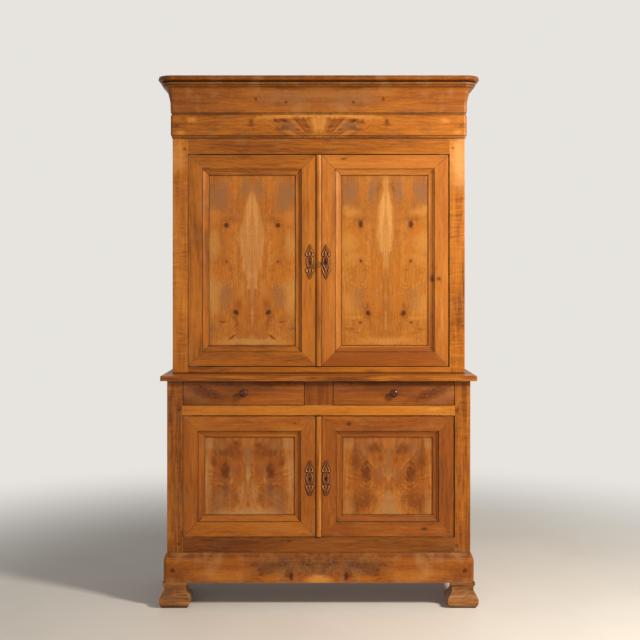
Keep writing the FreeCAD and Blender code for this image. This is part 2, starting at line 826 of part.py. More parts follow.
def drawer_carriers():
    """The block and partition between the drawers, and the runners and guides under them."""
    post_y = ("lower_front + post_depth", "rear_post_front")
    runner_z = ("runner_top - runner_height", "runner_top")
    guide_z = ("runner_top", "runner_top + guide_height")
    behind = "lower_front + divider_thickness"
    half = "divider_thickness / 2"
    block = board(
        "divider_block", ("-divider_width / 2", "divider_width / 2"), ("lower_front", behind),
        ("drawer_rail_top", "ledge_low"),
    )
    partition = board("divider_partition", (f"-{half}", half), (behind, "back_low"), ("runner_top", "ledge_low"))
    node("drawer_divider", block, partition)
    rail_face = "lower_side - side_rail_thickness"
    inner_wall = "drawer_inner + drawer_side_inset - stop_clearance"
    outer_wall = "drawer_outer - drawer_side_inset + stop_clearance"
    runner = board("side_runner", ("drawer_outer - drawer_side_inset - runner_lap", rail_face), post_y, runner_z)
    centre = board(
        "centre_runner", ("-centre_runner_width / 2", "centre_runner_width / 2"),
        ("lower_front + post_depth", "back_low"), runner_z,
    )
    side_guide = board("side_guide", (outer_wall, rail_face), post_y, guide_z)
    centre_guide = board("centre_guide", (half, inner_wall), (behind, "back_low"), guide_z)
    right = group("drawer_runners_right", [runner, side_guide, centre_guide])
    node("drawer_runners", centre, right, mirrored("drawer_runners_left", right))


# Doors
STANDING = NO_TURN
LYING = Rotation(Y_AXIS, -90)
MITRE_TURN = Rotation(Vector(1, 1, 1), -120)
LATCH_X = "(astragal_left - meeting_gap - latch_offset)"


def mitred_member(name, member_width, length):
    """A moulded frame member along +Z, outer edge on x = 0 and front on y = 0, mitred at both ends."""
    flat = f"({member_width} - door_moulding_width)"
    groove_back = "(door_panel_recess + door_panel_thickness)"
    points = [("0", "0", "line")]
    points += scaled(DOOR_MOULDING_SHARES, "door_moulding_width", "door_panel_recess", width_from=flat)
    points += [
        (f"{member_width} - door_groove_depth", "door_panel_recess", "line"),
        (f"{member_width} - door_groove_depth", groove_back, "line"),
        (member_width, groove_back, "line"),
        (member_width, "door_thickness", "line"),
        ("0", "door_thickness", "line"),
    ]
    stick = extruded(name + "_stick", loose_outline(name + "_section", points), Z_AXIS, length)
    mitre = doc.addObject("Part::Wedge", name + "_mitre")
    bind(
        mitre, Xmin="0", Ymin="0", Zmin="0", X2min=member_width, Z2min="0",
        Xmax=length, Ymax=member_width, Zmax="door_thickness",
        X2max=f"({length}) - {member_width}", Z2max="door_thickness",
    )
    mitre.Placement = Placement(Vector(), MITRE_TURN)
    member = doc.addObject("Part::MultiCommon", name)
    member.Shapes = [stick, mitre]
    return member


def keyhole(name, x, z, front, depth, radius):
    """A round hole with a slot below it, cut from the front backwards."""
    hole = rod(name + "_round", radius, depth, (x, f"{front} + ({depth})", z), Rotation(X_AXIS, 90))
    slot_x = (f"{x} - keyhole_slot_width / 2", f"{x} + keyhole_slot_width / 2")
    slot = board(name + "_slot", slot_x, (front, f"{front} + ({depth})"), (f"{z} - keyhole_slot_length", z))
    return fuse(name, hole, slot)


def door_frame(prefix, left, right, low, high, front, member, key_z=None):
    """Two stiles, two rails and a panel let into their grooves."""
    stile = put_at(mitred_member(f"{prefix}_stile", member, f"({high}) - ({low})"), left, front, low, STANDING)
    rail = put_at(mitred_member(f"{prefix}_rail", member, f"({right}) - ({left})"), right, front, low, LYING)
    other_stile = mirrored(f"{prefix}_stile_right", stile, x=f"(({left}) + ({right})) / 2")
    other_rail = mirrored(f"{prefix}_rail_top", rail, Z_AXIS, z=f"(({low}) + ({high})) / 2")
    if key_z:
        hole = keyhole(f"{prefix}_keyhole", "keyhole_offset", key_z, front, "door_thickness", "keyhole_radius")
        stile = cut(f"{prefix}_stile_bored", stile, hole)
    node(f"{prefix}_stiles", stile, other_stile)
    node(f"{prefix}_rails", rail, other_rail)
    reach = f"({member} - door_groove_depth + panel_play)"
    panel_y = (f"{front} + door_panel_recess", f"{front} + door_panel_recess + door_panel_thickness")
    panel = board(
        f"{prefix}_panel_board", (f"{left} + {reach}", f"{right} - {reach}"), panel_y,
        (f"{low} + {reach}", f"{high} - {reach}"),
    )
    node(f"{prefix}_panel", panel)


def astragal(prefix, low, high, front):
    """A rounded strip along the right door's meeting edge, as thick as the door behind its nose."""
    depth = "door_thickness"
    points = [
        ("0", f"-{depth}", "line"),
        ("astragal_width", f"-{depth}", "line"),
        ("astragal_width", "astragal_shoulder", "line"),
        ("astragal_width / 2", "astragal_proud", "plumb_end"),
        ("0", "astragal_shoulder", "plumb_start"),
    ]
    section = loose_outline(f"{prefix}_astragal_section", points)
    put_at(section, "astragal_right", front, low, Rotation(Z_AXIS, 180))
    node(f"{prefix}_astragal", extruded(f"{prefix}_astragal_strip", section, Z_AXIS, f"({high}) - ({low})"))


def escutcheon(label, x, z, front):
    """A pierced cast plate of scrolls round a keyhole."""
    half = loose_outline(label + "_half", scaled(ESCUTCHEON_SHARES, "escutcheon_width", "escutcheon_height"))
    put_at(half, x, front, z, Rotation(X_AXIS, 90))
    right = extruded(label + "_right", half, Vector(0, -1, 0), "escutcheon_thickness")
    plate = fuse(label + "_plate", right, mirrored(label + "_left", right, x=x))
    holes = [keyhole(
        label + "_keyhole", x, z, f"{front} - escutcheon_thickness", "escutcheon_thickness", "keyhole_radius"
    )]
    diamond = Rotation(Y_AXIS, 45)
    for i, (across, along, side) in enumerate(PIERCING_SHARES):
        for sign in (1, -1):
            piercing = doc.addObject("Part::Box", f"{label}_piercing_{i}_{1 + sign}")
            bind(
                piercing, Length=f"escutcheon_width * {side}", Width="escutcheon_thickness",
                Height=f"escutcheon_width * {side}",
            )
            half_diagonal = side * math.sqrt(0.5)
            holes.append(put_at(
                piercing, f"{x} + escutcheon_width * {sign * across - half_diagonal}",
                f"{front} - escutcheon_thickness", f"{z} + escutcheon_height * {along}", diamond,
            ))
    node(label, cut(label + "_pierced", plate, *holes))


def pivot_pair(name, sign, edge, opening, front, low, high, sill, lintel):
    """Both hinges of one door: plates on the frame with their pins, and bored plates on the door."""
    y = (f"{front} + pivot_plate_setback", f"{front} + pivot_plate_setback + pivot_plate_width")
    frame_x = sorted_pair(opening, f"{opening} - ({sign} * pivot_plate_length)", sign)
    door_x = sorted_pair(edge, f"{edge} - ({sign} * pivot_plate_length)", sign)
    pin_x = f"{edge} - ({sign} * pivot_inset)"
    pin_y = f"{front} + pivot_depth"
    frame_parts = []
    door_parts = []
    levels = (
        ("low", sill, f"{sill} + pivot_plate_thickness", f"{low} - pivot_plate_thickness", low),
        ("high", f"{lintel} - pivot_plate_thickness", lintel, high, f"{high} + pivot_plate_thickness"),
    )
    for level, frame_low, frame_high, door_low, door_high in levels:
        plate = board(f"{name}_{level}_frame_plate", frame_x, y, (frame_low, frame_high))
        leaf = board(f"{name}_{level}_door_plate", door_x, y, (door_low, door_high))
        if level == "low":
            pin_z = (frame_high, f"{door_high} - pivot_pin_shortfall")
        else:
            pin_z = (f"{door_low} + pivot_pin_shortfall", frame_low)
        pin_length = f"({pin_z[1]}) - ({pin_z[0]})"
        pin = rod(f"{name}_{level}_pin", "pivot_pin_radius", pin_length, (pin_x, pin_y, pin_z[0]))
        bore_radius = "pivot_pin_radius + pivot_clearance"
        bore = rod(f"{name}_{level}_bore", bore_radius, "pivot_plate_thickness", (pin_x, pin_y, door_low))
        frame_parts.append(fuse(f"{name}_{level}_pinned_plate", plate, pin))
        door_parts.append(cut(f"{name}_{level}_bored_plate", leaf, bore))
    return frame_parts, door_parts


def sorted_pair(outer, inner, sign):
    """Order two places on x, for a piece that reaches inwards from the outer one."""
    return (inner, outer) if sign > 0 else (outer, inner)


# Locks, key and latches
def lock(prefix, front, key_z):
    """A case open towards the door, with a pin for the key's barrel, and its bolt drawn back."""
    back = f"{front} + door_thickness"
    left = "astragal_left + lock_inset"
    x = (left, f"{left} + lock_length")
    y = (back, f"{back} + lock_depth")
    z = (f"{key_z} - lock_drop", f"{key_z} + lock_rise")
    block = board(f"{prefix}_lock_block", x, y, z)
    hollow = board(
        f"{prefix}_lock_hollow", (f"{x[0]} + lock_wall", f"{x[1]} - lock_wall"), (y[0], f"{y[1]} - lock_wall"),
        (f"{z[0]} + lock_wall", f"{z[1]} - lock_wall"),
    )
    bolt_y = (f"{back} + bolt_setback", f"{back} + bolt_setback + bolt_thickness")
    bolt_z = (f"{key_z} + bolt_rise", f"{key_z} + bolt_rise + bolt_height")
    slot = board(
        f"{prefix}_lock_slot", (x[0], f"{x[0]} + lock_wall"),
        (f"{bolt_y[0]} - bolt_clearance", f"{bolt_y[1]} + bolt_clearance"),
        (f"{bolt_z[0]} - bolt_clearance", f"{bolt_z[1]} + bolt_clearance"),
    )
    pin_end = f"{back} - lock_pin_reach + lock_depth"
    pin_length = "lock_pin_reach - lock_wall"
    pin = rod(
        f"{prefix}_lock_pin", "lock_pin_radius", pin_length,
        ("keyhole_offset", f"{pin_end} + ({pin_length})", key_z), Rotation(X_AXIS, 90),
    )
    shell = cut(f"{prefix}_lock_shell", block, hollow, slot)
    node(f"{prefix}_lock_case", fuse(f"{prefix}_lock_body", shell, pin))
    node(f"{prefix}_lock_bolt", board(f"{prefix}_bolt_bar", (x[0], f"{x[0]} + bolt_length"), bolt_y, bolt_z))


def key(front, key_z):
    """A drilled key on the lock's pin, with its bit inside the case and its bow in front."""
    x = "keyhole_offset"
    back = f"{front} + door_thickness"
    inner_end = f"({back} + lock_depth - lock_wall - key_end_gap)"
    outer_end = f"({front} - key_reach)"
    backwards = Rotation(X_AXIS, -90)
    barrel_length = f"{inner_end} - {outer_end}"
    barrel = rod("key_barrel", "key_barrel_radius", barrel_length, (x, outer_end, key_z), backwards)
    bore_start = f"({back} - lock_pin_reach + lock_depth - key_end_gap)"
    bore_radius = "lock_pin_radius + key_clearance"
    bore = rod("key_bore", bore_radius, f"{inner_end} - {bore_start}", (x, bore_start, key_z), backwards)
    bit = board(
        "key_bit", (f"{x} - key_bit_thickness / 2", f"{x} + key_bit_thickness / 2"),
        (f"{inner_end} - key_bit_length", inner_end), (f"{key_z} - key_bit_drop", key_z),
    )
    collar_at = (x, outer_end, key_z)
    collar = rod("key_collar", "key_collar_radius", "key_collar_length", collar_at, backwards)
    bow_at = (f"{x} - key_bow_thickness / 2", f"{outer_end} - key_bow_radius", key_z)
    sideways = Rotation(Y_AXIS, 90)
    disc = rod("key_disc", "key_bow_radius + key_bow_width / 2", "key_bow_thickness", bow_at, sideways)
    opening = rod("key_opening", "key_bow_radius - key_bow_width / 2", "key_bow_thickness", bow_at, sideways)
    bow = cut("key_bow", disc, opening)
    node("key", cut("key_drilled", fuse("key_solid", barrel, bit, collar, bow), bore))


def latch(prefix, front, lintel):
    """A flat bolt drawn down behind the left door, and the two staples it slides in."""
    back = f"{front} + door_thickness"
    top = f"({lintel} - stop_lip - latch_gap)"
    low = f"({top} - latch_length)"
    y = (f"{back} + latch_clearance", f"{back} + latch_clearance + latch_thickness")
    bar = board(f"{prefix}_latch_bar", (f"{LATCH_X} - latch_width / 2", f"{LATCH_X} + latch_width / 2"), y, (low, top))
    grip_rest = f"{top} - staple_from_top - staple_spacing + latch_clearance"
    grip = board(
        f"{prefix}_latch_grip", (f"{LATCH_X} - latch_grip_size / 2", f"{LATCH_X} + latch_grip_size / 2"),
        (y[1], f"{y[1]} + latch_grip_length"), (grip_rest, f"{grip_rest} + latch_grip_size"),
    )
    node(f"{prefix}_latch", fuse(f"{prefix}_latch_bolt", bar, grip))
    staples = []
    outer = "(latch_width / 2 + latch_clearance + staple_wall)"
    channel = "(latch_width / 2 + latch_clearance)"
    for i in range(2):
        z_high = f"({top} - staple_from_top - staple_spacing * {i})"
        z = (f"{z_high} - staple_height", z_high)
        staple = board(
            f"{prefix}_staple_block_{i}", (f"{LATCH_X} - {outer}", f"{LATCH_X} + {outer}"),
            (back, f"{y[1]} + latch_clearance + staple_wall"), z,
        )
        passage = board(
            f"{prefix}_staple_passage_{i}", (f"{LATCH_X} - {channel}", f"{LATCH_X} + {channel}"),
            (back, f"{y[1]} + latch_clearance"), z,
        )
        staples.append(cut(f"{prefix}_staple_{i}", staple, passage))
    return staples


def doors():
    """Four doors with their fittings; the right ones carry the astragals, locks and key."""
    for prefix in ("upper", "lower"):
        opening = f"{prefix}_opening"
        front = f"{prefix}_front"
        low = f"{prefix}_door_low"
        high = f"{prefix}_door_high"
        sill = f"{prefix}_sill"
        lintel = f"{prefix}_lintel"
        member = f"{prefix}_member_width"
        key_z = f"{prefix}_key_height"
        left_edge = f"-({opening}) + left_hinge_gap"
        right_edge = f"{opening} - right_hinge_gap"
        door_frame(f"{prefix}_left_door", left_edge, "astragal_left - meeting_gap", low, high, front, member)
        door_frame(f"{prefix}_right_door", "astragal_right", right_edge, low, high, front, member, key_z)
        astragal(prefix, low, high, front)
        escutcheon(f"{prefix}_left_escutcheon", "-left_escutcheon_offset", key_z, front)
        escutcheon(f"{prefix}_right_escutcheon", "keyhole_offset", key_z, front)
        lock(prefix, front, key_z)
        staples = latch(prefix, front, lintel)
        places = (front, low, high, sill, lintel)
        left_frame, left_door = pivot_pair(f"{prefix}_left_pivot", -1, left_edge, f"-({opening})", *places)
        right_frame, right_door = pivot_pair(f"{prefix}_right_pivot", 1, right_edge, opening, *places)
        node(f"{prefix}_frame_pivots", *left_frame, *right_frame)
        node(f"{prefix}_left_door_fittings", *left_door, *staples)
        node(f"{prefix}_right_door_fittings", *right_door)
    key("upper_front", "upper_key_height")


def check_model():
    """Stop before anything is written if an object failed or a sub-part isn't sound."""
    for thing in doc.Objects:
        if "Invalid" in thing.State or "Error" in thing.State:
            raise SystemExit(f"{thing.Name} failed: {thing.State}")
    for label, thing in nodes.items():
        if thing.Shape.isNull() or not thing.Shape.isValid():
            raise SystemExit(f"{label} has no sound shape")
        if not thing.Shape.Solids:
            raise SystemExit(f"{label} has no solid")


front_feet()
plinth()
lower_case()
upper_case()
ledge()
cornice()
drawers()
drawer_carriers()
doors()
doc.recompute()
check_model()

os.makedirs("parts", exist_ok=True)
for label, thing in nodes.items():
    thing.Shape.exportStep(f"parts/{label}.step")
    litres = thing.Shape.Volume / 1e6
    print(f"{label}: {len(thing.Shape.Solids)} solids, {litres:.3f} litres")
print(f"{len(nodes)} nodes")
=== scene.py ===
import json
import math
from functools import reduce

import bmesh
import bpy
from mathutils import Matrix, Vector


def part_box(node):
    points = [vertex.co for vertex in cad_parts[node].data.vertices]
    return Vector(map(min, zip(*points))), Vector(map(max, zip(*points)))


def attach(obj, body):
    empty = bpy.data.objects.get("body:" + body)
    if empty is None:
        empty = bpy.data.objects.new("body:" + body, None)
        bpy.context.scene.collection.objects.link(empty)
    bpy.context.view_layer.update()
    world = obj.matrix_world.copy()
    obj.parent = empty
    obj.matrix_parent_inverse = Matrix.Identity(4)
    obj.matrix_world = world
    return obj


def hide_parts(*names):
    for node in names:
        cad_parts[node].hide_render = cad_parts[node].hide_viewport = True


# Two-part cupboard in fruitwood: figured veneers and boards, cast escutcheons, turned knobs and an iron key.
# Metres, +Z up, the front looks towards -Y.

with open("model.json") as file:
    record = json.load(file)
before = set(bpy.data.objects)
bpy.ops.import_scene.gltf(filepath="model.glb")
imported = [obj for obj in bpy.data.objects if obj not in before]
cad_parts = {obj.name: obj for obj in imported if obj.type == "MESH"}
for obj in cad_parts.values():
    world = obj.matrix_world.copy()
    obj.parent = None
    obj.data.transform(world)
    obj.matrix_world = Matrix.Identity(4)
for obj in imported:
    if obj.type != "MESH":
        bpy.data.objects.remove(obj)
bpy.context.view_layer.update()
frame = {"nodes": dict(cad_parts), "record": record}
nodes = frame["nodes"]

# Colours, as sRGB hex texts
BLOND = "dc9a48"
HONEY = "cf8a3c"
GOLDEN = "c67c2a"
OCHRE = "ad641a"
RUSSET = "904c14"
UMBER = "6e380e"
BARK = "4a2006"
# Dark of knots, pegs and mitres, and of painted shade in the frames' creases, round the panels and in the keyholes
KNOT_AND_SHADE = "2e1406"
SMOKE = "8e5e36"
RUST = "b4661a"
ASH = "a87846"
# Dark of dirt, and of painted shade in recesses, crevices and keyholes
DIRT_AND_SHADE = "1e0e04"
# Tones of a wood: dark, middle, light and, where it has pale patches, theirs
AMBER = (UMBER, OCHRE, GOLDEN, HONEY)
WARM = (RUSSET, "b46b26", HONEY, BLOND)
BROWN = (UMBER, RUSSET, OCHRE, HONEY)
POST = (*AMBER[:3], "e0a05a")
CROWN = ("6e3c10", "935117", "b16c20")
ASTRAGAL = (UMBER, OCHRE, HONEY)
FOOT = ("643e1e", "936036", "bd8554")
INNER = ("85592f", "a17447", "b98d5e")
BACK = ("634426", "7d5a37", "94704a")
PLINTH_SMOKE = "6e4628"
# Light, middle and deep colour of the metals, and of the dark knobs
COPPER_BRIGHT = "d89a62"
COPPER = ("7c441c", "54290f", "160802")
STEEL = ("5c554e", "2a2521", "15110f")
KEY_IRON = ("2b2622", "15110f", "0c0b0b")
KNOB = ("602c10", "30120a", "1a0c06")
FLOOR_LIGHT = "ebe7e1"
FLOOR_DARK = "e6e2db"
BACKDROP = "ece9e4"

BACKDROP_LEVEL = 0.95
WORLD_LEVEL = 0.25
WOOD_SPECULAR = 0.18
METAL_SPECULAR = 0.25
FLOOR_REACH = 60
FLOOR_FADE = (1.3, 3.8)
# Lamps: name, place, target, size, power and colour
LAMPS = (
    ("key_lamp", (2.5, -2.2, 2.65), (0, -0.2, 1.2), 0.7, 152, "fff5e6"),
    ("fill_lamp", (-2.2, -4.6, 1.6), (0, -0.2, 1.1), 2.6, 32, "fff4ea"),
)

# Camera, as fitted to the photograph
CAMERA_PLACE = (0, -5.265, 1.465)
CAMERA_LENS = 62.55
CAMERA_SENSOR = 36
CAMERA_SHIFT_X = 0.002
CAMERA_SHIFT_Y = -0.0609

# Sizes in the wood's material
EDGE_RADIUS = 0.0012
WEAR_RADIUS = 0.004
RECESS_REACH = 0.016
CREVICE_REACH = 0.009
MITRE_LINE = 0.0026
PANEL_LINE = 0.0042
JOINT_LINE = 0.0002
BAND_EDGE = 0.001
BUMP_DEPTH = 0.0009
# Samples of the bevel and occlusion nodes
SHAPE_SAMPLES = 4
# Places of the dark, middle and light tone
TONE_PLACES = (0.16, 0.5, 0.84)
# How far each part of the figure changes the tone, at a share of 1
MOTTLE_SWING = 3
STREAK_SWING = 2.4
FIBRE_SWING = 0.39
THREAD_SWING = 3
RIPPLE_SWING = 2.6
CURL_SWING = 2.8
LINE_SWING = 3.2
RING_SWING = 0.26
# Stains: their edge's fade from and to, in half sizes, then the swirl's from and to, and the least share
STAINS = {
    "glow": (1.25, 0.3, 0.15, 0.6, 0.5),
    "rusty": (1.2, 0.3, 0.25, 0.6, 0.4),
    "smoke": (1.2, 0.3, 0.3, 0.62, 0.4),
    "dark": (1.25, 0.25, 0.3, 0.58, 0.25),
}
# Rings round a knot: fade from and to, size, strength and colour
KNOT_RINGS = ((1, 0.2, 3, 0.7, RUSSET), (1, 0.4, 1.7, 0.5, BARK))


def linear(text):
    """The linear colour of an sRGB hex text."""
    shades = []
    for start in (0, 2, 4):
        share = int(text[start:start + 2], 16) / 255
        shades.append(share / 12.92 if share <= 0.04045 else ((share + 0.055) / 1.055) ** 2.4)
    return (*shades, 1)


def middle_of(box):
    """The middle of a box that is given by two corners."""
    return [(low + high) / 2 for low, high in zip(*box)]


def turns(count):
    """Angles spread evenly over one turn."""
    return [math.tau * k / count for k in range(count)]


def plug(tree, socket, value):
    if isinstance(value, Field):
        tree.links.new(value.socket, socket)
    elif isinstance(value, str):
        socket.default_value = linear(value)
    else:
        socket.default_value = value


def from_node(tree, kind, inputs, output=0, **settings):
    """What a new node gives, once it has its settings and its inputs, by name or number."""
    node = tree.nodes.new("ShaderNode" + kind)
    for key, value in settings.items():
        setattr(node, key, value)
    for key, value in inputs.items():
        plug(tree, node.inputs[key], value)
    return Field(tree, node.outputs[output])


class Field:
    """A value that a material works out at each point; arithmetic on it adds nodes."""

    def __init__(self, tree, socket):
        self.tree = tree
        self.socket = socket

    def work(self, operation, *others):
        return from_node(self.tree, "Math", dict(enumerate((self, *others))), operation=operation)

    def __add__(self, other):
        return self.work("ADD", other)

    __radd__ = __add__

    def __sub__(self, other):
        return self.work("SUBTRACT", other)

    def __rsub__(self, other):
        return self * -1 + other

    def __mul__(self, other):
        return self.work("MULTIPLY", other)

    def __truediv__(self, other):
        return self.work("DIVIDE", other)

    def size(self):
        return self.work("ABSOLUTE")

    def wave(self):
        return self.work("SINE")

    def most(self, other):
        return self.work("MAXIMUM", other)

    def least(self, other):
        return self.work("MINIMUM", other)

    def swing(self, amount):
        """A noise as a change to both sides of 0, by up to half the amount."""
        return (self - 0.5) * amount

    def between(self, start, end, low=0, high=1):
        """Smoothly from low to high as the value goes from start to end."""
        inputs = {"Value": self, "From Min": start, "From Max": end, "To Min": low, "To Max": high}
        return from_node(self.tree, "MapRange", inputs, interpolation_type="SMOOTHSTEP")


class Finish:
    """A procedural material on the piece's own coordinates."""

    def __init__(self, name):
        self.material = bpy.data.materials.new(name)
        self.material.use_nodes = True
        self.tree = self.material.node_tree
        self.surface = self.tree.nodes["Principled BSDF"]
        place = self.field("TexCoord", {}, "Object")
        self.x, self.y, self.z = [self.field("SeparateXYZ", {0: place}, axis) for axis in "XYZ"]

    def field(self, *arguments, **settings):
        return from_node(self.tree, *arguments, **settings)

    def vector(self, x, y, z=0):
        return self.field("CombineXYZ", {0: x, 1: y, 2: z})

    def length(self, x, y):
        return self.field("VectorMath", {0: self.vector(x, y)}, "Value", operation="LENGTH")

    def noise(self, x, y, z, detail=2, roughness=0.5, distortion=0):
        return self.field("TexNoise", {
            "Vector": self.vector(x, y, z), "Scale": 1, "Detail": detail, "Roughness": roughness,
            "Distortion": distortion,
        })

    def mix(self, share, first, second):
        return self.field("Mix", {0: share, 6: first, 7: second}, 2, data_type="RGBA")

    def lay(self, share, tone):
        """Lay a share of a tone over the colour so far."""
        self.colour = self.mix(share, self.colour, tone)

    def toned(self, value, tones):
        """From the dark through the middle to the light tone as a value rises."""
        node = self.tree.nodes.new("ShaderNodeValToRGB")
        plug(self.tree, node.inputs[0], value)
        elements = node.color_ramp.elements
        elements.new(0.5)
        for element, place, tone in zip(elements, TONE_PLACES, tones):
            element.position = place
            element.color = linear(tone)
        return Field(self.tree, node.outputs[0])

    def rounding(self, radius):
        """The surface direction with its edges rounded."""
        return self.field("Bevel", {"Radius": radius}, samples=SHAPE_SAMPLES)

    def sharpness(self, radius):
        """From 0 on flat stretches to 1 on edges."""
        flat = self.field("NewGeometry", {}, "True Normal")
        return 1 - self.field("VectorMath", {0: self.rounding(radius), 1: flat}, "Value", operation="DOT_PRODUCT")

    def openness(self, distance):
        """From 0 deep in a recess to 1 on an open face."""
        return self.field("AmbientOcclusion", {"Distance": distance}, "AO", samples=SHAPE_SAMPLES)

    def finish(self, roughness, height, depth, normal=None):
        """The material, with its colour so far, a roughness and a bump of some depth."""
        bump = {"Strength": 1, "Distance": depth, "Height": height}
        if normal is not None:
            bump["Normal"] = normal
        inputs = {"Base Color": self.colour, "Roughness": roughness, "Normal": self.field("Bump", bump)}
        for key, value in inputs.items():
            plug(self.tree, self.surface.inputs[key], value)
        return self.material


class Wood(Finish):
    """Wood whose grain runs along one axis. Its figure is drawn on x measured from a seam, where it has one."""

    def __init__(self, name, along, seam, seed):
        super().__init__(name)
        self.along = along
        self.seed = seed
        self.across = self.x if seam is None else (self.x - seam).size()
        self.turned = None
        self.drift = self.cloud(8, detail=3)
        self.sway = self.cloud(7, detail=3, shift=9)
        self.swirl = self.cloud(34, detail=4, roughness=0.62, distortion=1.8)
        ragged = self.cloud(60, detail=3, shift=3)
        frayed = self.cloud(60, detail=3, shift=7)
        uneven = self.noise(self.x * 9 + 30, self.y * 9, self.z * 9, detail=3)
        # Places moved about by noise, for soft stains, bent outlines and crisp marks
        self.soft = (
            self.across + self.drift.swing(0.05) + uneven.swing(0.03) + ragged.swing(0.02),
            self.z + self.sway.swing(0.05) + uneven.swing(0.03) + frayed.swing(0.028),
        )
        self.bent = (
            self.across + uneven.swing(0.04) + ragged.swing(0.012),
            self.z + self.sway.swing(0.04) + frayed.swing(0.012),
        )
        self.crisp = (self.across + ragged.swing(0.016), self.z + frayed.swing(0.016))

    def cloud(self, scale, shift=0, **settings):
        """Noise that changes as much in every direction."""
        return self.noise(self.across * scale + shift + self.seed, self.y * scale, self.z * scale + shift, **settings)

    def grain(self, cross, length, **settings):
        """Noise drawn out along the grain: so many changes in a metre across it, and along it."""
        places = {"x": self.across + self.seed, "y": self.y, "z": self.z}
        scales = {axis: length if axis == self.along else cross for axis in "xyz"}
        if self.turned:
            share, first, second = self.turned
            scales[first] = share.between(0, 1, cross, length)
            scales[second] = share.between(0, 1, length, cross)
        return self.noise(*[places[axis] * scales[axis] for axis in "xyz"], **settings)

    def mitre(self, half_width, front):
        """A mitre at each corner: the grain runs along x in front of it, and along y behind it."""
        inwards = half_width - self.x.size() - (self.y - front)
        self.turned = (inwards.between(-JOINT_LINE, JOINT_LINE), "x", "y")

    def butt(self, place):
        """Rails along y in front of a joint, and posts along z behind it."""
        self.turned = (self.y.between(place + JOINT_LINE, place - JOINT_LINE), "y", "z")

    def spot(self, row, warped, grown=1):
        """Distance from the middle of a row's patch, in its half sizes."""
        across, height, half_width, half_height, _, *lean = row
        aside, rise = warped[0] - across, warped[1] - height
        if lean:
            aside = aside - rise * lean[0]
        return self.length(aside / (half_width * grown), rise / (half_height * grown))

    def patches(self, table, start, end, warped, grown=1, level=1):
        """The strongest of the patches at each point. A row is across, height, half width, half height, strength
        and, where it leans, its lean; its edge fades from start to end, in its half sizes."""
        return reduce(Field.most, [
            self.spot(row, warped, grown).between(start, end, 0, row[4] * level) for row in table
        ])

    def stain(self, kind, table, tone):
        """Lay a table's patches over the colour, broken up by the swirl."""
        if table:
            start, end, calm, full, least = STAINS[kind]
            self.lay(self.patches(table, start, end, self.soft) * self.swirl.between(calm, full, least), tone)

    def rings(self, table, count):
        """Rings round the middle of each patch, from -1 to 1 where they are strongest."""
        waves = []
        for row in table:
            distance = self.spot(row, self.bent)
            phase = distance * (count * math.tau) + self.drift.swing(8)
            waves.append(phase.wave() * distance.between(1.4, 0.3, 0, row[4]))
        return reduce(Field.__add__, waves) * self.cloud(22, shift=6, detail=2).between(0.38, 0.62, 0.15)

    def year_lines(self, count, knots):
        """Lines of the yearly growth, so many in a metre, that bend round the knots; 0 to 1."""
        place = self.z if self.along == "x" else self.across
        field = place * count + self.drift.swing(3.4) + self.sway.swing(2.6)
        if knots:
            field = field + self.patches(knots, 1, 0, self.crisp, 9, 2)
        return (field * math.tau).wave().between(-0.2, 1) * self.grain(6, 4, detail=2).between(0.3, 0.62)

    def flame(self, outline):
        """How far a point lies inside a spindle along the seam. Its outline is (height, half width) rows, downwards."""
        x, z = self.bent
        reach = outline[-1][1]
        for (top, upper), (bottom, lower) in zip(outline, outline[1:]):
            reach = reach + z.between(bottom, top, 0, upper - lower)
        return reach - x

    def feather(self, count, slope):
        """Uneven fine lines that fall away from the seam on both sides, about -1 to 1."""
        x, z = self.soft
        lines = self.noise((z + x * slope) * count, x * 9, self.y * 9, detail=4, roughness=0.7, distortion=0.4)
        return lines.swing(LINE_SWING)

    def fan(self, height, count, low, high):
        """Uneven lines that spread from a foot on the seam, about -1 to 1, strongest between two distances from it."""
        x, z = self.crisp
        angle = (x + 0.004).work("ARCTAN2", z - height)
        reach = self.length(self.across, self.z - height)
        lines = self.noise(angle * count + self.drift, reach * 5, self.y * 9, detail=4, roughness=0.72, distortion=0.3)
        return lines.swing(LINE_SWING) * reach.between(high, high * 0.7) * reach.between(low * 0.6, low)

    def inside(self, box):
        """Distances inwards from the sides and from the ends of a box."""
        low, high = box
        middle = middle_of(box)
        return [
            (high[axis] - low[axis]) / 2 - (place - middle[axis]).size() for axis, place in ((0, self.x), (2, self.z))
        ]

    def joinery(self, box, creases):
        """Thin dark lines in the mitres of a frame that fills a box, and lines of painted shade at distances inwards,
        in the quirks of its flat and moulding.
        """
        from_side, from_end = self.inside(box)
        lines = (from_side - from_end).size().between(MITRE_LINE, MITRE_LINE * 0.3)
        inwards = from_side.least(from_end)
        for distance, width, strength in creases:
            lines = lines.most((inwards - distance).size().between(width, width * 0.3, 0, strength))
        return lines * self.cloud(30, detail=2).between(0.25, 0.5, 0.6)

    def rim(self, box, inset):
        """A dark line of painted shade and dirt inside the edge of an opening that stands in from a box."""
        from_side, from_end = self.inside(box)
        return (from_side.least(from_end) - inset).between(PANEL_LINE, PANEL_LINE * 0.4, 0, 0.7)

    def band(self, low, high, amount):
        """An amount between two heights."""
        above = self.z.between(low - BAND_EDGE, low + BAND_EDGE, 0, amount)
        return above * self.z.between(high + BAND_EDGE, high - BAND_EDGE)

    def pegs(self, table):
        """Turned ends of pegs, each x, z, radius: a dark rim and a less dark disc."""
        ends = []
        for x, z, radius in table:
            distance = self.length(self.x - x, self.z - z) / radius
            rim = distance.between(0.6, 1) * distance.between(1.45, 1.1)
            ends.append(rim.most(distance.between(1.1, 0.9, 0, 0.5)))
        return reduce(Field.most, ends)

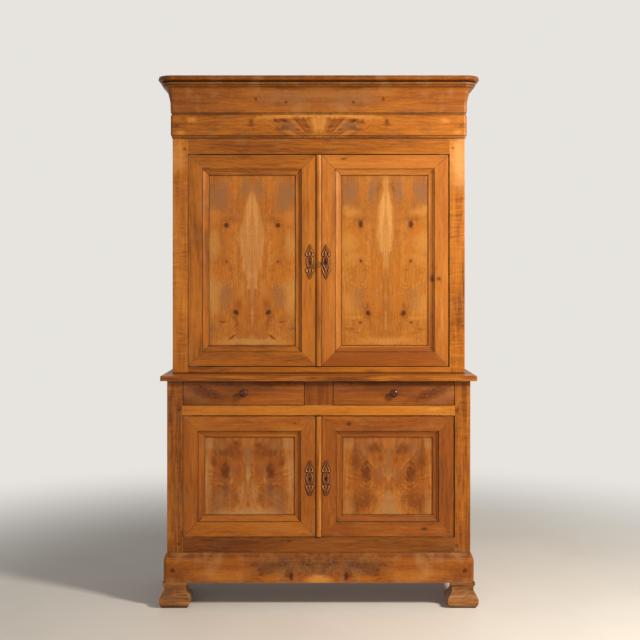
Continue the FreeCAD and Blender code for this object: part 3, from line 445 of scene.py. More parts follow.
    def age_and_shade(self):
        """Lay rubbed edges over the colour, then dirt mixed with painted shade in the recesses and near-black painted
        shade in the crevices. Gives where the wear and the dirt with its painted shade are.
        """
        # From the occlusion: dirt with painted shade in the recesses, and near-black painted shade in the narrow
        # crevices
        recess = self.openness(RECESS_REACH)
        crevice = self.openness(CREVICE_REACH).between(0.96, 0.66)
        rubbed = self.grain(70, 25, detail=3).between(0.35, 0.65, 0.25)
        wear = self.sharpness(WEAR_RADIUS).between(0.015, 0.16) * rubbed * recess.between(0.55, 0.9)
        dirt_and_shade = recess.between(0.8, 0.25) * self.cloud(60, detail=3).between(0.2, 0.6, 0.5)
        self.lay(wear * 0.55, BLOND)
        self.lay((dirt_and_shade * 0.7).most(crevice * 0.9), DIRT_AND_SHADE)
        return wear, dirt_and_shade


def wood(
    name, tones, along="z", seam=None, corner=None, butt=None, seed=0, gloss=0.42,
    streak=0.5, mottle=0.35, threads=0.2, ripple=0, curl=0, lines=0, line_count=60, blotches=0, grey=0.16,
    shift=0, slope=0, slope_from=0, bands=(), shades=(), knots=(), eyes=(), eye_rings=3.5,
    glow=(), rusty=(), smoke=(), dark=(), rust_tone=RUST, smoke_tone=SMOKE,
    flame=None, flame_tones=(), fan=None, fan_strength=0.2, feather=None, feathered=(), seam_line=0,
    frame_box=None, creases=(), rim=None, pegs=(), holes=(), behind=None,
):
    """Polished wood: its grain and figure, then stains, knots and joints with painted shade in some of their lines,
    then pores, wear, and dirt with painted shade in the recesses.
    """
    s = Wood(name, along, seam, seed)
    if corner:
        s.mitre(*corner)
    if butt:
        s.butt(butt)
    broad = s.grain(11, 2, detail=3, roughness=0.6)
    streaks = s.grain(55, 3.4, detail=4, roughness=0.65, distortion=0.35)
    fibres = s.grain(420, 16, detail=3, roughness=0.6)
    pores = s.grain(900, 45, detail=1)
    tone = 0.5 + shift + broad.swing(mottle * MOTTLE_SWING) + streaks.swing(streak * STREAK_SWING)
    tone = tone + fibres.swing(FIBRE_SWING) + s.grain(150, 9, detail=4, roughness=0.75).swing(threads * THREAD_SWING)
    plain_tone = tone
    if slope:
        tone = tone + (s.x - slope_from) * slope
    for low, high, amount in bands:
        tone = tone + s.band(low, high, amount)
    if ripple:
        waves = s.grain(14, 78, detail=3, roughness=0.65, distortion=0.7)
        strong = s.grain(4, 4, detail=1).between(0.3, 0.6, 0.35) * s.z.between(1, 1.04, 0.45)
        tone = tone + waves.swing(ripple * RIPPLE_SWING) * strong
    if curl:
        x, z = s.soft
        burl = s.noise(x * 24, s.y * 24, z * 24, detail=4, roughness=0.68, distortion=2.8)
        tone = tone + burl.swing(curl * CURL_SWING)
    if lines:
        tone = tone - s.year_lines(line_count, knots) * lines
    if eyes:
        tone = tone + s.rings(eyes, eye_rings) * RING_SWING
    if fan:
        tone = tone + s.fan(*fan) * fan_strength
    if feather:
        tone = tone + s.feather(*feather) * s.patches(feathered, 1.2, 0.4, s.soft)
    s.colour = s.toned(tone, tones)
    s.lay(s.cloud(13, shift=5, detail=3).between(0.48, 0.72, 0, grey), ASH)
    if blotches:
        blotch = s.cloud(30, shift=11, detail=5, roughness=0.66, distortion=0.6)
        s.lay(blotch.between(0.5, 0.66, 0, blotches), RUST)
        s.lay(blotch.between(0.47, 0.32, 0, blotches), SMOKE)
    s.stain("glow", glow, tones[-1])
    s.stain("rusty", rusty, rust_tone)
    if flame:
        pale = s.mix((streaks * 0.8 + s.swirl * 0.2).between(0.38, 0.62), *flame_tones)
        s.lay(s.flame(flame).between(-0.004, 0.014) * 0.82, pale)
    s.stain("smoke", smoke, smoke_tone)
    s.stain("dark", dark, BARK)
    for low, high, amount in shades:
        s.lay(s.band(low, high, amount), BARK)
    height = fibres.swing(0.1) - pores.between(0.62, 0.72) * 0.22 + streaks.swing(0.25)
    if knots:
        for start, end, grown, strength, ring_tone in KNOT_RINGS:
            s.lay(s.patches(knots, start, end, s.crisp, grown, strength), ring_tone)
        core = s.patches(knots, 1.3, 0.5, s.crisp)
        s.lay(core * 0.75, KNOT_AND_SHADE)
        height = height - core * 0.6
    marks = []
    if pegs:
        marks.append(s.pegs(pegs))
    if frame_box:
        marks.append(s.joinery(frame_box, creases))
    if rim:
        marks.append(s.rim(*rim))
    if holes:
        pierced = s.patches(holes, 1.1, 0.8, (s.x, s.z))
        marks.append(pierced)
    if marks:
        # Dark marks: peg ends and mitres, and painted shade in the creases, round the panels and in the keyholes
        mark = reduce(Field.most, marks)
        s.lay(mark * 0.8, KNOT_AND_SHADE)
        height = height - mark * 0.5
    # Painted shade deep in the keyholes
    if holes:
        s.lay(pierced, DIRT_AND_SHADE)
    if behind:
        s.lay(s.y.between(behind, behind + 0.001), s.toned(plain_tone, tones))
    if seam_line:
        s.lay(s.across.between(0.0016, 0.0004, 0, seam_line), BARK)
    s.lay(pores.between(0.6, 0.74, 0, 0.34), BARK)
    # Wear, and dirt with painted shade in the recesses, which is also rougher
    wear, dirt_and_shade = s.age_and_shade()
    roughness = gloss + s.cloud(14, shift=2, detail=4, roughness=0.6).swing(0.22)
    roughness = roughness + fibres.swing(0.1) + dirt_and_shade * 0.3 - wear * 0.06
    s.surface.inputs["Specular IOR Level"].default_value = WOOD_SPECULAR
    return s.finish(roughness, height, BUMP_DEPTH, s.rounding(EDGE_RADIUS))


def metal(name, colours, roughness, reach=0.004, metallic=1, scale=260, relief=None):
    """Cast or forged metal, light on its edges and dark in the hollows. relief: the fronts of the lower and upper
    doors, from which a polished form stands out."""
    light, middle, deep = colours
    s = Finish(name)
    mottled = s.noise(s.x * scale, s.y * scale, s.z * scale, detail=4, roughness=0.65)
    broad = scale * 0.2
    clouds = s.noise(s.x * broad, s.y * broad, s.z * broad, detail=3)
    s.colour = s.mix(clouds.between(0.3, 0.7), middle, light)
    s.lay(mottled.between(0.52, 0.75, 0, 0.5), deep)
    hollow = s.openness(reach).between(0.85, 0.4)
    edges = s.sharpness(0.0008).between(0.02, 0.2)
    s.lay(edges * 0.6, light)
    if relief:
        door_front = s.z.between(0.99, 1.01, *relief)
        raised = (door_front - s.y).between(0.0036, 0.0052)
        s.lay(raised * mottled.between(0.3, 0.55, 0.5), COPPER_BRIGHT)
    s.lay(hollow * 0.9, deep)
    s.surface.inputs["Metallic"].default_value = metallic
    s.surface.inputs["Specular IOR Level"].default_value = METAL_SPECULAR
    rough = roughness + clouds.swing(0.2) + hollow * 0.3 - edges * 0.08
    return s.finish(rough, mottled, 0.0002, s.rounding(0.0004))


# Figure of the panels, mirrored in the seam, which Wood.patches explains
UPPER_LEFT = {
    "tones": (RUSSET, "ab651e", "ca863a", "c38e4a"),
    "seam": -0.307,
    "flame": [
        (1.905, -0.006), (1.84, 0.026), (1.802, 0.038), (1.663, 0.066), (1.556, 0.048), (1.448, 0.027), (1.4, 0.01),
        (1.2, 0.006),
    ],
    "flame_tones": ("b0753e", "d2934e"),
    "knots": [
        (0.12, 1.722, 0.01, 0.009, 0.95), (0.117, 1.554, 0.004, 0.005, 0.8), (0.073, 1.32, 0.01, 0.01, 1),
        (0.134, 1.278, 0.012, 0.003, 0.6, 1), (0.092, 1.206, 0.005, 0.01, 0.7, -1.4),
    ],
    "eyes": [
        (0.148, 1.858, 0.036, 0.062, 1), (0.125, 1.42, 0.036, 0.06, 0.9), (0.12, 1.722, 0.04, 0.045, 0.6),
        (0.073, 1.32, 0.045, 0.05, 0.6),
    ],
    "smoke": [
        (0.15, 1.858, 0.055, 0.085, 1), (0.035, 1.895, 0.034, 0.06, 0.9), (0.13, 1.4, 0.04, 0.075, 0.75),
        (0.19, 1.24, 0.03, 0.05, 0.6),
    ],
    "glow": [
        (0.02, 1.185, 0.16, 0.03, 0.6), (0.175, 1.64, 0.035, 0.07, 0.4), (0.18, 1.4, 0.045, 0.1, 0.5),
        (0.17, 1.77, 0.04, 0.03, 0.4), (0.05, 1.43, 0.02, 0.05, 0.35),
    ],
    "rusty": [
        (0.092, 1.905, 0.022, 0.05, 0.95, -0.5), (0.15, 1.76, 0.055, 0.03, 0.7), (0.1, 1.66, 0.03, 0.09, 0.6),
        (0.05, 1.35, 0.03, 0.1, 0.6), (0.15, 1.5, 0.05, 0.05, 0.5),
    ],
    "dark": [
        (0.06, 1.35, 0.022, 0.03, 0.4), (0.074, 1.29, 0.018, 0.045, 0.5), (0.105, 1.748, 0.03, 0.022, 0.4),
        (0.19, 1.24, 0.02, 0.008, 0.4), (0.045, 1.205, 0.05, 0.008, 0.3),
    ],
    "feathered": [(0.07, 1.88, 0.13, 0.08, 0.14), (0.08, 1.42, 0.13, 0.16, 0.16), (0.12, 1.7, 0.1, 0.1, 0.12)],
}
UPPER_RIGHT = {
    "tones": (RUSSET, "ac6920", "c48238", "c98c3e"),
    "seam": 0.309,
    "flame": [
        (2, 0.01), (1.89, 0.008), (1.845, 0.022), (1.8, 0.036), (1.69, 0.045), (1.617, 0.034), (1.57, 0.017),
        (1.5, 0.006), (1.2, 0.004),
    ],
    "flame_tones": ("b87c3c", "dda05a"),
    "knots": [
        (0.116, 1.727, 0.009, 0.015, 0.9), (0.114, 1.557, 0.005, 0.006, 0.85), (0.082, 1.316, 0.01, 0.011, 0.95),
        (0.118, 1.273, 0.006, 0.005, 0.8), (0.14, 1.228, 0.006, 0.004, 0.5, 3.5),
    ],
    "eyes": [
        (0.07, 1.885, 0.045, 0.08, 0.7), (0.158, 1.872, 0.034, 0.06, 1), (0.116, 1.727, 0.038, 0.055, 0.7),
        (0.082, 1.316, 0.045, 0.05, 0.6), (0.1, 1.47, 0.04, 0.06, 0.5),
    ],
    "smoke": [(0.16, 1.88, 0.05, 0.08, 1), (0.06, 1.885, 0.036, 0.09, 0.95), (0.13, 1.38, 0.04, 0.06, 0.5)],
    "glow": [
        (0, 1.19, 0.13, 0.026, 0.6), (0.16, 1.65, 0.05, 0.06, 0.5), (0.15, 1.57, 0.05, 0.04, 0.4),
        (0.16, 1.79, 0.055, 0.03, 0.5), (0.16, 1.36, 0.05, 0.06, 0.45), (0.15, 1.3, 0.05, 0.012, 0.5),
    ],
    "rusty": [
        (0.11, 1.89, 0.02, 0.06, 0.8), (0.13, 1.7, 0.05, 0.03, 0.8), (0.06, 1.47, 0.03, 0.09, 0.5),
        (0.05, 1.36, 0.03, 0.07, 0.6), (0.11, 1.62, 0.03, 0.04, 0.5),
    ],
    "dark": [
        (0.034, 1.895, 0.012, 0.05, 0.35), (0.085, 1.345, 0.025, 0.02, 0.35), (0.08, 1.29, 0.02, 0.03, 0.35),
        (0.17, 1.24, 0.03, 0.008, 0.4), (0.11, 1.752, 0.03, 0.016, 0.35),
    ],
    "feathered": [(0.08, 1.88, 0.13, 0.1, 0.16), (0.1, 1.45, 0.12, 0.16, 0.12), (0.12, 1.7, 0.1, 0.1, 0.14)],
}
LOWER_LEFT = {
    "tones": (UMBER, "9c581c", "bb7832", "b58452"),
    "seam": -0.319,
    "eyes": [(0.098, 0.61, 0.06, 0.1, 0.55), (0.12, 0.69, 0.06, 0.05, 0.4)],
    "smoke": [
        (0.001, 0.675, 0.012, 0.085, 1), (0.125, 0.72, 0.035, 0.026, 0.6), (0.1, 0.52, 0.035, 0.06, 0.6),
        (0.13, 0.47, 0.06, 0.06, 0.8), (0.06, 0.61, 0.02, 0.05, 0.4),
    ],
    "glow": [
        (0, 0.6, 0.005, 0.1, 0.9), (0.18, 0.735, 0.035, 0.045, 0.5), (0, 0.42, 0.2, 0.03, 0.75),
        (0.02, 0.5, 0.024, 0.07, 0.35), (0.19, 0.58, 0.02, 0.14, 0.5),
    ],
    "rusty": [
        (0.07, 0.69, 0.08, 0.065, 0.95), (0.045, 0.6, 0.03, 0.06, 0.8), (0.07, 0.5, 0.04, 0.07, 0.6),
        (0.11, 0.62, 0.05, 0.07, 0.8),
    ],
    "dark": [
        (0.098, 0.61, 0.026, 0.045, 0.85), (0.048, 0.731, 0.018, 0.016, 0.7), (0.105, 0.69, 0.036, 0.022, 0.45),
        (0.024, 0.69, 0.01, 0.016, 0.5), (0.103, 0.54, 0.022, 0.05, 0.4), (0.06, 0.7, 0.05, 0.04, 0.4),
        (0.06, 0.5, 0.02, 0.05, 0.3, 0.4),
    ],
    "feather": (95, 1.2),
    "feathered": [(0.05, 0.5, 0.1, 0.09, 0.2)],
    "fan": (0.555, 15, 0.05, 0.26),
    "fan_strength": 0.38,
}
LOWER_RIGHT = {
    "tones": (UMBER, "a05a1c", "b9742a", ASH),
    "seam": 0.316,
    "eyes": [(0.098, 0.606, 0.07, 0.115, 0.8), (0.12, 0.48, 0.06, 0.06, 0.5)],
    "eye_rings": 5,
    "smoke": [
        (0, 0.67, 0.013, 0.1, 1), (0.03, 0.6, 0.022, 0.05, 0.6), (0.12, 0.7, 0.04, 0.05, 0.5),
        (0, 0.745, 0.2, 0.01, 0.5), (0, 0.405, 0.2, 0.012, 0.7),
    ],
    "glow": [
        (0, 0.43, 0.058, 0.05, 0.85), (0, 0.49, 0.028, 0.04, 0.8), (0, 0.58, 0.008, 0.06, 0.8),
        (0.18, 0.73, 0.03, 0.03, 0.6), (0.17, 0.45, 0.03, 0.08, 0.4),
    ],
    "rusty": [
        (0.045, 0.575, 0.032, 0.05, 0.9), (0.14, 0.62, 0.05, 0.1, 0.7), (0.11, 0.5, 0.06, 0.07, 0.8),
        (0.06, 0.69, 0.07, 0.05, 0.7),
    ],
    "dark": [
        (0.098, 0.604, 0.03, 0.055, 0.75, 0.12), (0.06, 0.715, 0.05, 0.028, 0.55), (0.035, 0.665, 0.02, 0.02, 0.3),
        (0.12, 0.475, 0.06, 0.055, 0.45), (0.06, 0.475, 0.015, 0.05, 0.3, 0.3), (0.15, 0.66, 0.03, 0.07, 0.4),
    ],
    "fan": (0.545, 15, 0.05, 0.26),
    "fan_strength": 0.32,
    "feather": (85, 1.2),
    "feathered": [(0.06, 0.48, 0.11, 0.08, 0.16)],
}
PANELS = {"upper_left": UPPER_LEFT, "upper_right": UPPER_RIGHT, "lower_left": LOWER_LEFT, "lower_right": LOWER_RIGHT}
# What the two panels of a level share
PANEL_GRAIN = {
    "upper": dict(
        streak=0.2, mottle=0.4, curl=0.26, lines=0.13, line_count=64, threads=0.14, seam_line=0.2, blotches=0.4,
        feather=(75, 1),
    ),
    "lower": dict(streak=0.25, curl=0.2, blotches=0.35, threads=0.3, rust_tone=RUSSET, shift=-0.06),
}
# Painted shade in lines round the doors' frames, at the edges of the flat and of the moulding: distance inwards, width,
# strength
FRAME_CREASES = {
    "upper": ((0.064, 0.0028, 0.9), (0.093, 0.0034, 0.95)),
    "lower": ((0.066, 0.0028, 0.9), (0.095, 0.0034, 0.95)),
}
# The doors' stiles and rails: most are figured, some are clean, and some have more of their own
FIGURED = dict(streak=0.19, mottle=0.34, blotches=0.15)
CLEAN = dict(streak=0.12, mottle=0.22, blotches=0.04, grey=0.03)
CLEAN_MEMBERS = ("upper_left_rail", "upper_right_rail", "lower_right_stile")
MEMBERS = {
    "upper_left_stile": dict(slope=0.3),
    "upper_left_rail": dict(shift=-0.18, bands=[(1.07, 1.16, 0.14)]),
    "upper_right_stile": dict(
        slope=-0.18, knots=[(0.522, 1.477, 0.008, 0.012, 0.7), (0.552, 1.475, 0.01, 0.007, 0.6)],
    ),
    "upper_right_rail": dict(bands=[(1.07, 1.16, -0.34)], knots=[(0.117, 2.028, 0.012, 0.004, 0.6, 2)]),
    "lower_left_stile": dict(slope=0.2, shift=0.08),
    "lower_left_rail": dict(shift=0.18, knots=[(-0.107, 0.825, 0.006, 0.004, 0.6)]),
    "lower_right_stile": dict(slope=-0.2, shift=-0.06),
    "lower_right_rail": dict(knots=[
        (0.135, 0.823, 0.009, 0.009, 0.7), (0.476, 0.35, 0.014, 0.006, 0.75), (0.588, 0.337, 0.009, 0.005, 0.8),
    ]),
}
# Keyholes painted as dark shade in the stiles, behind the escutcheons: place across, height, half width and half height
KEYHOLE_PLACES = {"left": -0.041, "right": 0.033}
KEYHOLE_HEIGHTS = {"upper": 1.549, "lower": 0.575}
KEYHOLE_SIZE = (0.0055, 0.0105)
# Half width and front of the cases, whose corners the crown, frieze and plinth turn
UPPER_CORNER = (0.672, -0.15)
LOWER_CORNER = (0.682, -0.265)


def make_materials():
    """One material for each slot of the record."""
    made = {}

    def add(slot, tones, **figure):
        made[slot] = wood(slot, tones, **figure)

    add(
        "post_wood", POST, ripple=0.42, streak=0.35, mottle=0.3, bands=[(0, 1.017, -0.19)],
        # Pale patches at the tops of the upper posts: the one on the right post is a painted highlight
        glow=[(0.645, 2.02, 0.05, 0.14, 0.8), (-0.65, 2.04, 0.04, 0.08, 0.35)],
        pegs=[
            (-0.617, 2.073, 0.005), (0.617, 2.077, 0.005), (-0.628, 0.886, 0.005), (0.62, 0.882, 0.006),
            (-0.631, 0.283, 0.005), (0.62, 0.274, 0.006),
        ],
    )
    add(
        "rail_wood", AMBER, along="x", streak=0.12, mottle=0.22, threads=0.22, lines=0.07, line_count=50, seed=3.7,
        bands=[(0.2, 0.312, -0.12), (0.86, 0.906, 0.12), (2.045, 2.13, -0.14)], shades=[(0.2, 0.312, 0.42)],
        dark=[(-0.146, 0.298, 0.034, 0.006, 1), (-0.45, 1.052, 0.06, 0.008, 0.5), (0.25, 1.05, 0.05, 0.012, 0.5)],
        glow=[(0.52, 0.884, 0.04, 0.01, 0.6)], slope=0.12,
    )
    add("side_wood", BROWN, along="y", butt=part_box("lower_rear_posts")[0][1], streak=0.4, mottle=0.4, lines=0.06)
    add("side_panel_wood", BROWN, streak=0.6, mottle=0.5, lines=0.14, line_count=28, curl=0.06)
    add(
        "crown_wood", CROWN, along="x", corner=UPPER_CORNER, seam=0.004, streak=0.26, lines=0.1, line_count=55,
        bands=[(2.35, 2.41, -0.24)], slope=0.08, blotches=0.3, grey=0.45,
        knots=[(0.292, 2.301, 0.006, 0.005, 0.8), (0.155, 2.286, 0.006, 0.005, 0.6)],
        eyes=[(0.155, 2.286, 0.045, 0.026, 1), (0.292, 2.301, 0.045, 0.022, 0.9)],
        smoke=[(0.15, 2.3, 0.15, 0.045, 0.85), (0.03, 2.33, 0.2, 0.02, 0.5)],
        dark=[(0.13, 2.345, 0.1, 0.012, 0.5), (0.19, 2.27, 0.05, 0.012, 0.3)],
    )
    add(
        "frieze_wood", AMBER, along="x", corner=UPPER_CORNER, seam=0.001, streak=0.35, curl=0.1, lines=0.06,
        shift=-0.17, slope=0.1, blotches=0.3, fan=(2.075, 13, 0.05, 0.24), fan_strength=0.62,
        knots=[(0.16, 2.201, 0.014, 0.005, 0.8), (0.31, 2.196, 0.009, 0.01, 0.6)],
        eyes=[(0.31, 2.196, 0.03, 0.02, 0.5)],
        glow=[
            (0.05, 2.222, 0.24, 0.014, 0.9), (0, 2.185, 0.045, 0.05, 0.8), (0.25, 2.212, 0.08, 0.014, 0.5),
            (0.585, 2.212, 0.03, 0.016, 0.7), (0.63, 2.15, 0.025, 0.012, 0.6),
        ],
        smoke=[(0.14, 2.175, 0.06, 0.03, 0.9)],
        dark=[
            (0.175, 2.199, 0.045, 0.01, 0.95), (0.165, 2.165, 0.04, 0.02, 0.6, -1.4), (0.31, 2.19, 0.022, 0.01, 0.7),
            (0.25, 2.165, 0.06, 0.012, 0.4, -1.8), (0.655, 2.18, 0.012, 0.008, 0.6),
        ],
        rusty=[(0.22, 2.17, 0.06, 0.03, 0.5)],
    )
    for door, figure in PANELS.items():
        level, side = door.split("_")
        tones = BROWN if level == "lower" else AMBER if side == "left" else WARM
        frame_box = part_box(f"{door}_door_stiles")
        middle = middle_of(frame_box)
        hole = (KEYHOLE_PLACES[side], KEYHOLE_HEIGHTS[level], *KEYHOLE_SIZE, 1)
        for member, own in (("stile", dict(along="z", holes=[hole], behind=middle[1])), ("rail", dict(along="x"))):
            key = f"{door}_{member}"
            own.update(CLEAN if key in CLEAN_MEMBERS else FIGURED, **MEMBERS[key])
            add(
                f"{key}_wood", tones, threads=0.24, lines=0.1 if level == "lower" else 0.05, line_count=42,
                frame_box=frame_box, creases=FRAME_CREASES[level], slope_from=middle[0], **own,
            )
        add(
            # Panels: a rim of painted shade and dirt round their edges
            f"{door}_panel_wood", rim=(frame_box, FRAME_CREASES[level][1][0]),
            behind=middle_of(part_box(f"{door}_door_panel"))[1], **PANEL_GRAIN[level], **figure,
        )
    add("astragal_wood", ASTRAGAL)
    # Drawer fronts: their darker shift is partly painted shade under the ledge, and the last dark row is painted shadow
    # from the ledge along their tops
    add(
        "drawer_front_wood", BROWN, along="x", seam=0.004, streak=0.3, lines=0.08, shift=-0.07, blotches=0.12,
        grey=0.04,
        dark=[(0.5, 0.96, 0.07, 0.05, 0.8, 1.6), (0.42, 0.93, 0.03, 0.05, 0.4, 1.6), (0.3, 1.01, 0.4, 0.014, 0.6)],
        smoke=[(0.57, 0.95, 0.06, 0.06, 0.6, 1.4)],
    )
    # Divider: its darker shift is partly its own darker wood and partly painted shade under the ledge
    add("divider_wood", BROWN, streak=0.4, ripple=0.3, shift=-0.26, grey=0)
    add("ledge_wood", AMBER, along="x", streak=0.45, mottle=0.4, shift=-0.22)
    add(
        "plinth_wood", BROWN, along="x", corner=LOWER_CORNER, seam=0, streak=0.35, mottle=0.3, curl=0.12, lines=0.06,
        shift=0.04, bands=[(0.222, 0.246, -0.26)], shades=[(0.222, 0.246, 0.14)], blotches=0.35, grey=0.65,
        knots=[
            (0.655, 0.168, 0.009, 0.009, 0.75), (0.124, 0.142, 0.009, 0.014, 0.95), (0.262, 0.15, 0.012, 0.007, 0.3),
        ],
        eyes=[(0.19, 0.17, 0.14, 0.07, 0.9), (0.124, 0.145, 0.05, 0.05, 0.8), (0.03, 0.175, 0.06, 0.05, 0.8)],
        dark=[
            (0.126, 0.152, 0.024, 0.024, 0.75), (0.245, 0.168, 0.05, 0.022, 0.5), (0.06, 0.2, 0.05, 0.02, 0.55),
            (0.18, 0.196, 0.07, 0.018, 0.5), (0.285, 0.19, 0.03, 0.014, 0.45), (0, 0.213, 0.28, 0.005, 0.4),
            (0.028, 0.16, 0.014, 0.03, 0.4),
        ],
        smoke=[(0.185, 0.184, 0.155, 0.05, 0.9), (0.05, 0.19, 0.09, 0.04, 0.9)], smoke_tone=PLINTH_SMOKE,
        rusty=[(0.2, 0.15, 0.06, 0.035, 0.8)],
        glow=[(0, 0.122, 0.075, 0.028, 0.9), (0.05, 0.19, 0.02, 0.02, 0.5), (0.45, 0.14, 0.15, 0.03, 0.3)],
    )
    add("foot_wood", FOOT, along="x", streak=0.6, mottle=0.5, threads=0.4, blotches=0.3, lines=0.15, gloss=0.55)
    add("inner_wood", INNER, along="x", streak=0.4, gloss=0.72)
    add("back_wood", BACK, gloss=0.75)
    relief = [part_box(f"{level}_left_escutcheon")[1][1] for level in ("lower", "upper")]
    for slot, colours, roughness, more in (
        ("escutcheon_brass", COPPER, 0.4, dict(reach=0.006, metallic=0.55, relief=relief)),
        ("fitting_steel", STEEL, 0.42, {}),
        ("key_steel", KEY_IRON, 0.4, dict(metallic=0.6)),
        ("knob_wood", KNOB, 0.2, dict(metallic=0, scale=120)),
    ):
        made[slot] = metal(slot, colours, roughness, **more)
    return made


materials = make_materials()
slots = {part["node"]: part["material_slot"] for part in frame["record"]["subparts"]}
for name, thing in nodes.items():
    thing.data.materials.clear()
    thing.data.materials.append(materials[slots[name]])


def put(name, data):
    """A new object in the scene."""
    thing = bpy.data.objects.new(name, data)
    bpy.context.scene.collection.objects.link(thing)
    return thing


def show(name, mesh, body, slot, replaced=()):
    """Put a mesh into the scene as a piece that rides on a body, in a slot's material."""
    piece = put(name, mesh)
    mesh.materials.clear()
    mesh.materials.append(materials[slot])
    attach(piece, body)
    if replaced:
        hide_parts(*replaced)


def smooth(mesh, angle):
    """Shade a mesh smoothly, with creases at edges sharper than the angle."""
    for face in mesh.polygons:
        face.use_smooth = True
    mesh.set_sharp_from_angle(angle=math.radians(angle))
    return mesh


def mesh_of(name, build, *arguments):
    """A mesh filled by a function that works on a bmesh."""
    work = bmesh.new()
    build(work, *arguments)
    bmesh.ops.remove_doubles(work, verts=work.verts, dist=1e-6)
    bmesh.ops.recalc_face_normals(work, faces=work.faces)
    mesh = bpy.data.meshes.new(name)
    work.to_mesh(mesh)
    work.free()
    return mesh


def through(points, steps):
    """Points on a smooth curve through the given ones, each a tuple of numbers."""
    path = []
    last = len(points) - 1
    for i in range(last):
        before, start, end, after = points[max(i - 1, 0)], points[i], points[i + 1], points[min(i + 2, last)]
        for step in range(steps):
            t = step / steps
            path.append(tuple(
                0.5 * (2 * b + (c - a) * t + (2 * a - 5 * b + 4 * c - d) * t ** 2 + (3 * b - a - 3 * c + d) * t ** 3)
                for a, b, c, d in zip(before, start, end, after)
            ))
    path.append(tuple(points[last]))
    return path


def add_tube(work, path, sides, closed=False):
    """A round rod along (x, y, z, radius) points, closed on itself or with closed ends."""
    rings = []
    count = len(path)
    for i in range(count):
        here = Vector(path[i][:3])
        after = Vector(path[(i + 1) % count][:3]) if closed or i + 1 < count else here
        before = Vector(path[i - 1][:3]) if closed or i else here
        ahead = (after - before).normalized()
        side = ahead.cross(Vector((0.3, 1, 0.2))).normalized()
        other = ahead.cross(side)
        rings.append([
            work.verts.new(here + (side * math.cos(turn) + other * math.sin(turn)) * path[i][3])
            for turn in turns(sides)
        ])
    for i in range(count if closed else count - 1):
        first, second = rings[i], rings[(i + 1) % count]
        for k in range(sides):
            work.faces.new((first[k], first[(k + 1) % sides], second[(k + 1) % sides], second[k]))
    if not closed:
        work.faces.new(rings[0])
        work.faces.new(list(reversed(rings[-1])))


def add_turning(work, profile, place, sides):
    """A turned form on a Y axis: profile is (radius, distance in front) points, from the back forwards."""
    x, y, z = place
    rings = []
    for radius, ahead in profile:
        if radius == 0:
            rings.append([work.verts.new((x, y - ahead, z))])
            continue
        rings.append([
            work.verts.new((x + radius * math.cos(turn), y - ahead, z + radius * math.sin(turn)))
            for turn in turns(sides)
        ])
    for first, second in zip(rings, rings[1:]):
        for k in range(sides):
            round_face = ((first, k), (first, k + 1), (second, k + 1), (second, k))
            corners = list(dict.fromkeys(ring[step % len(ring)] for ring, step in round_face))
            if len(corners) > 2:
                work.faces.new(corners)


def add_block(work, low, high, bevel):
    """A block between two corners with rounded edges."""
    made = bmesh.ops.create_cube(work, size=1)["verts"]
    for vert in made:
        vert.co = Vector([low[axis] if vert.co[axis] < 0 else high[axis] for axis in range(3)])
    edges = list(dict.fromkeys(edge for vert in made for edge in vert.link_edges))
    bmesh.ops.bevel(work, geom=edges, offset=bevel, segments=2, profile=0.5, affect="EDGES")


# Drawer fronts and their turned knobs
KNOB_PROFILE = [
    (0, 0), (0.0118, 0), (0.0122, 0.0016), (0.0112, 0.0032), (0.0082, 0.0052), (0.0072, 0.0085), (0.0078, 0.012),
    (0.0112, 0.014), (0.0158, 0.0158), (0.0178, 0.0188), (0.0176, 0.0215), (0.015, 0.0248), (0.0095, 0.0272),
    (0.004, 0.0279), (0, 0.028),
]
KNOB_SIDES = 48
DRAWER_FRONT_THICKNESS = 0.022
DRAWER_EDGE = 0.0012


def drawer_front(side):
    node = f"{side}_drawer_front"
    low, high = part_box(node)
    x, _, z = middle_of((low, high))
    face_y = high[1] - DRAWER_FRONT_THICKNESS
    face = mesh_of(f"{side}_drawer_face", add_block, (low[0], face_y, low[2]), high, DRAWER_EDGE)
    show(f"{side}_drawer_face", smooth(face, 40), f"{side}_drawer", "drawer_front_wood", [node])
    profile = KNOB_PROFILE[:1] + through(KNOB_PROFILE[1:], 4)
    knob = mesh_of(f"{side}_drawer_knob", add_turning, profile, (x, face_y, z), KNOB_SIDES)
    show(f"{side}_drawer_knob", smooth(knob, 50), f"{side}_drawer", "knob_wood")


# Escutcheons: a pierced plate with cast scrolls along its edges. Places are shares of its width and height; scrolls
# have their thickness too, piercings their half sizes and lean, and bosses their radius
ESCUTCHEON_UPPER_END = [
    (0.215, 0.165), (0.3, 0.18), (0.43, 0.172), (0.5, 0.205), (0.475, 0.24), (0.4, 0.268), (0.3, 0.305), (0.215, 0.37),
    (0.14, 0.435), (0.07, 0.482), (0, 0.5),
]
ESCUTCHEON_MIDDLE = [
    (0.5, -0.248), (0.49, -0.218), (0.4, -0.208), (0.28, -0.2), (0.24, -0.175), (0.32, -0.13), (0.4, -0.07), (0.42, 0),
    (0.38, 0.07), (0.29, 0.125),
]
ESCUTCHEON_LOWER_ENDS = {
    "upper": [(0, -0.5), (0.075, -0.488), (0.13, -0.455), (0.2, -0.4), (0.3, -0.335), (0.4, -0.278)],
    "lower": [(0, -0.5), (0.12, -0.492), (0.21, -0.465), (0.27, -0.42), (0.33, -0.36), (0.41, -0.3)],
}
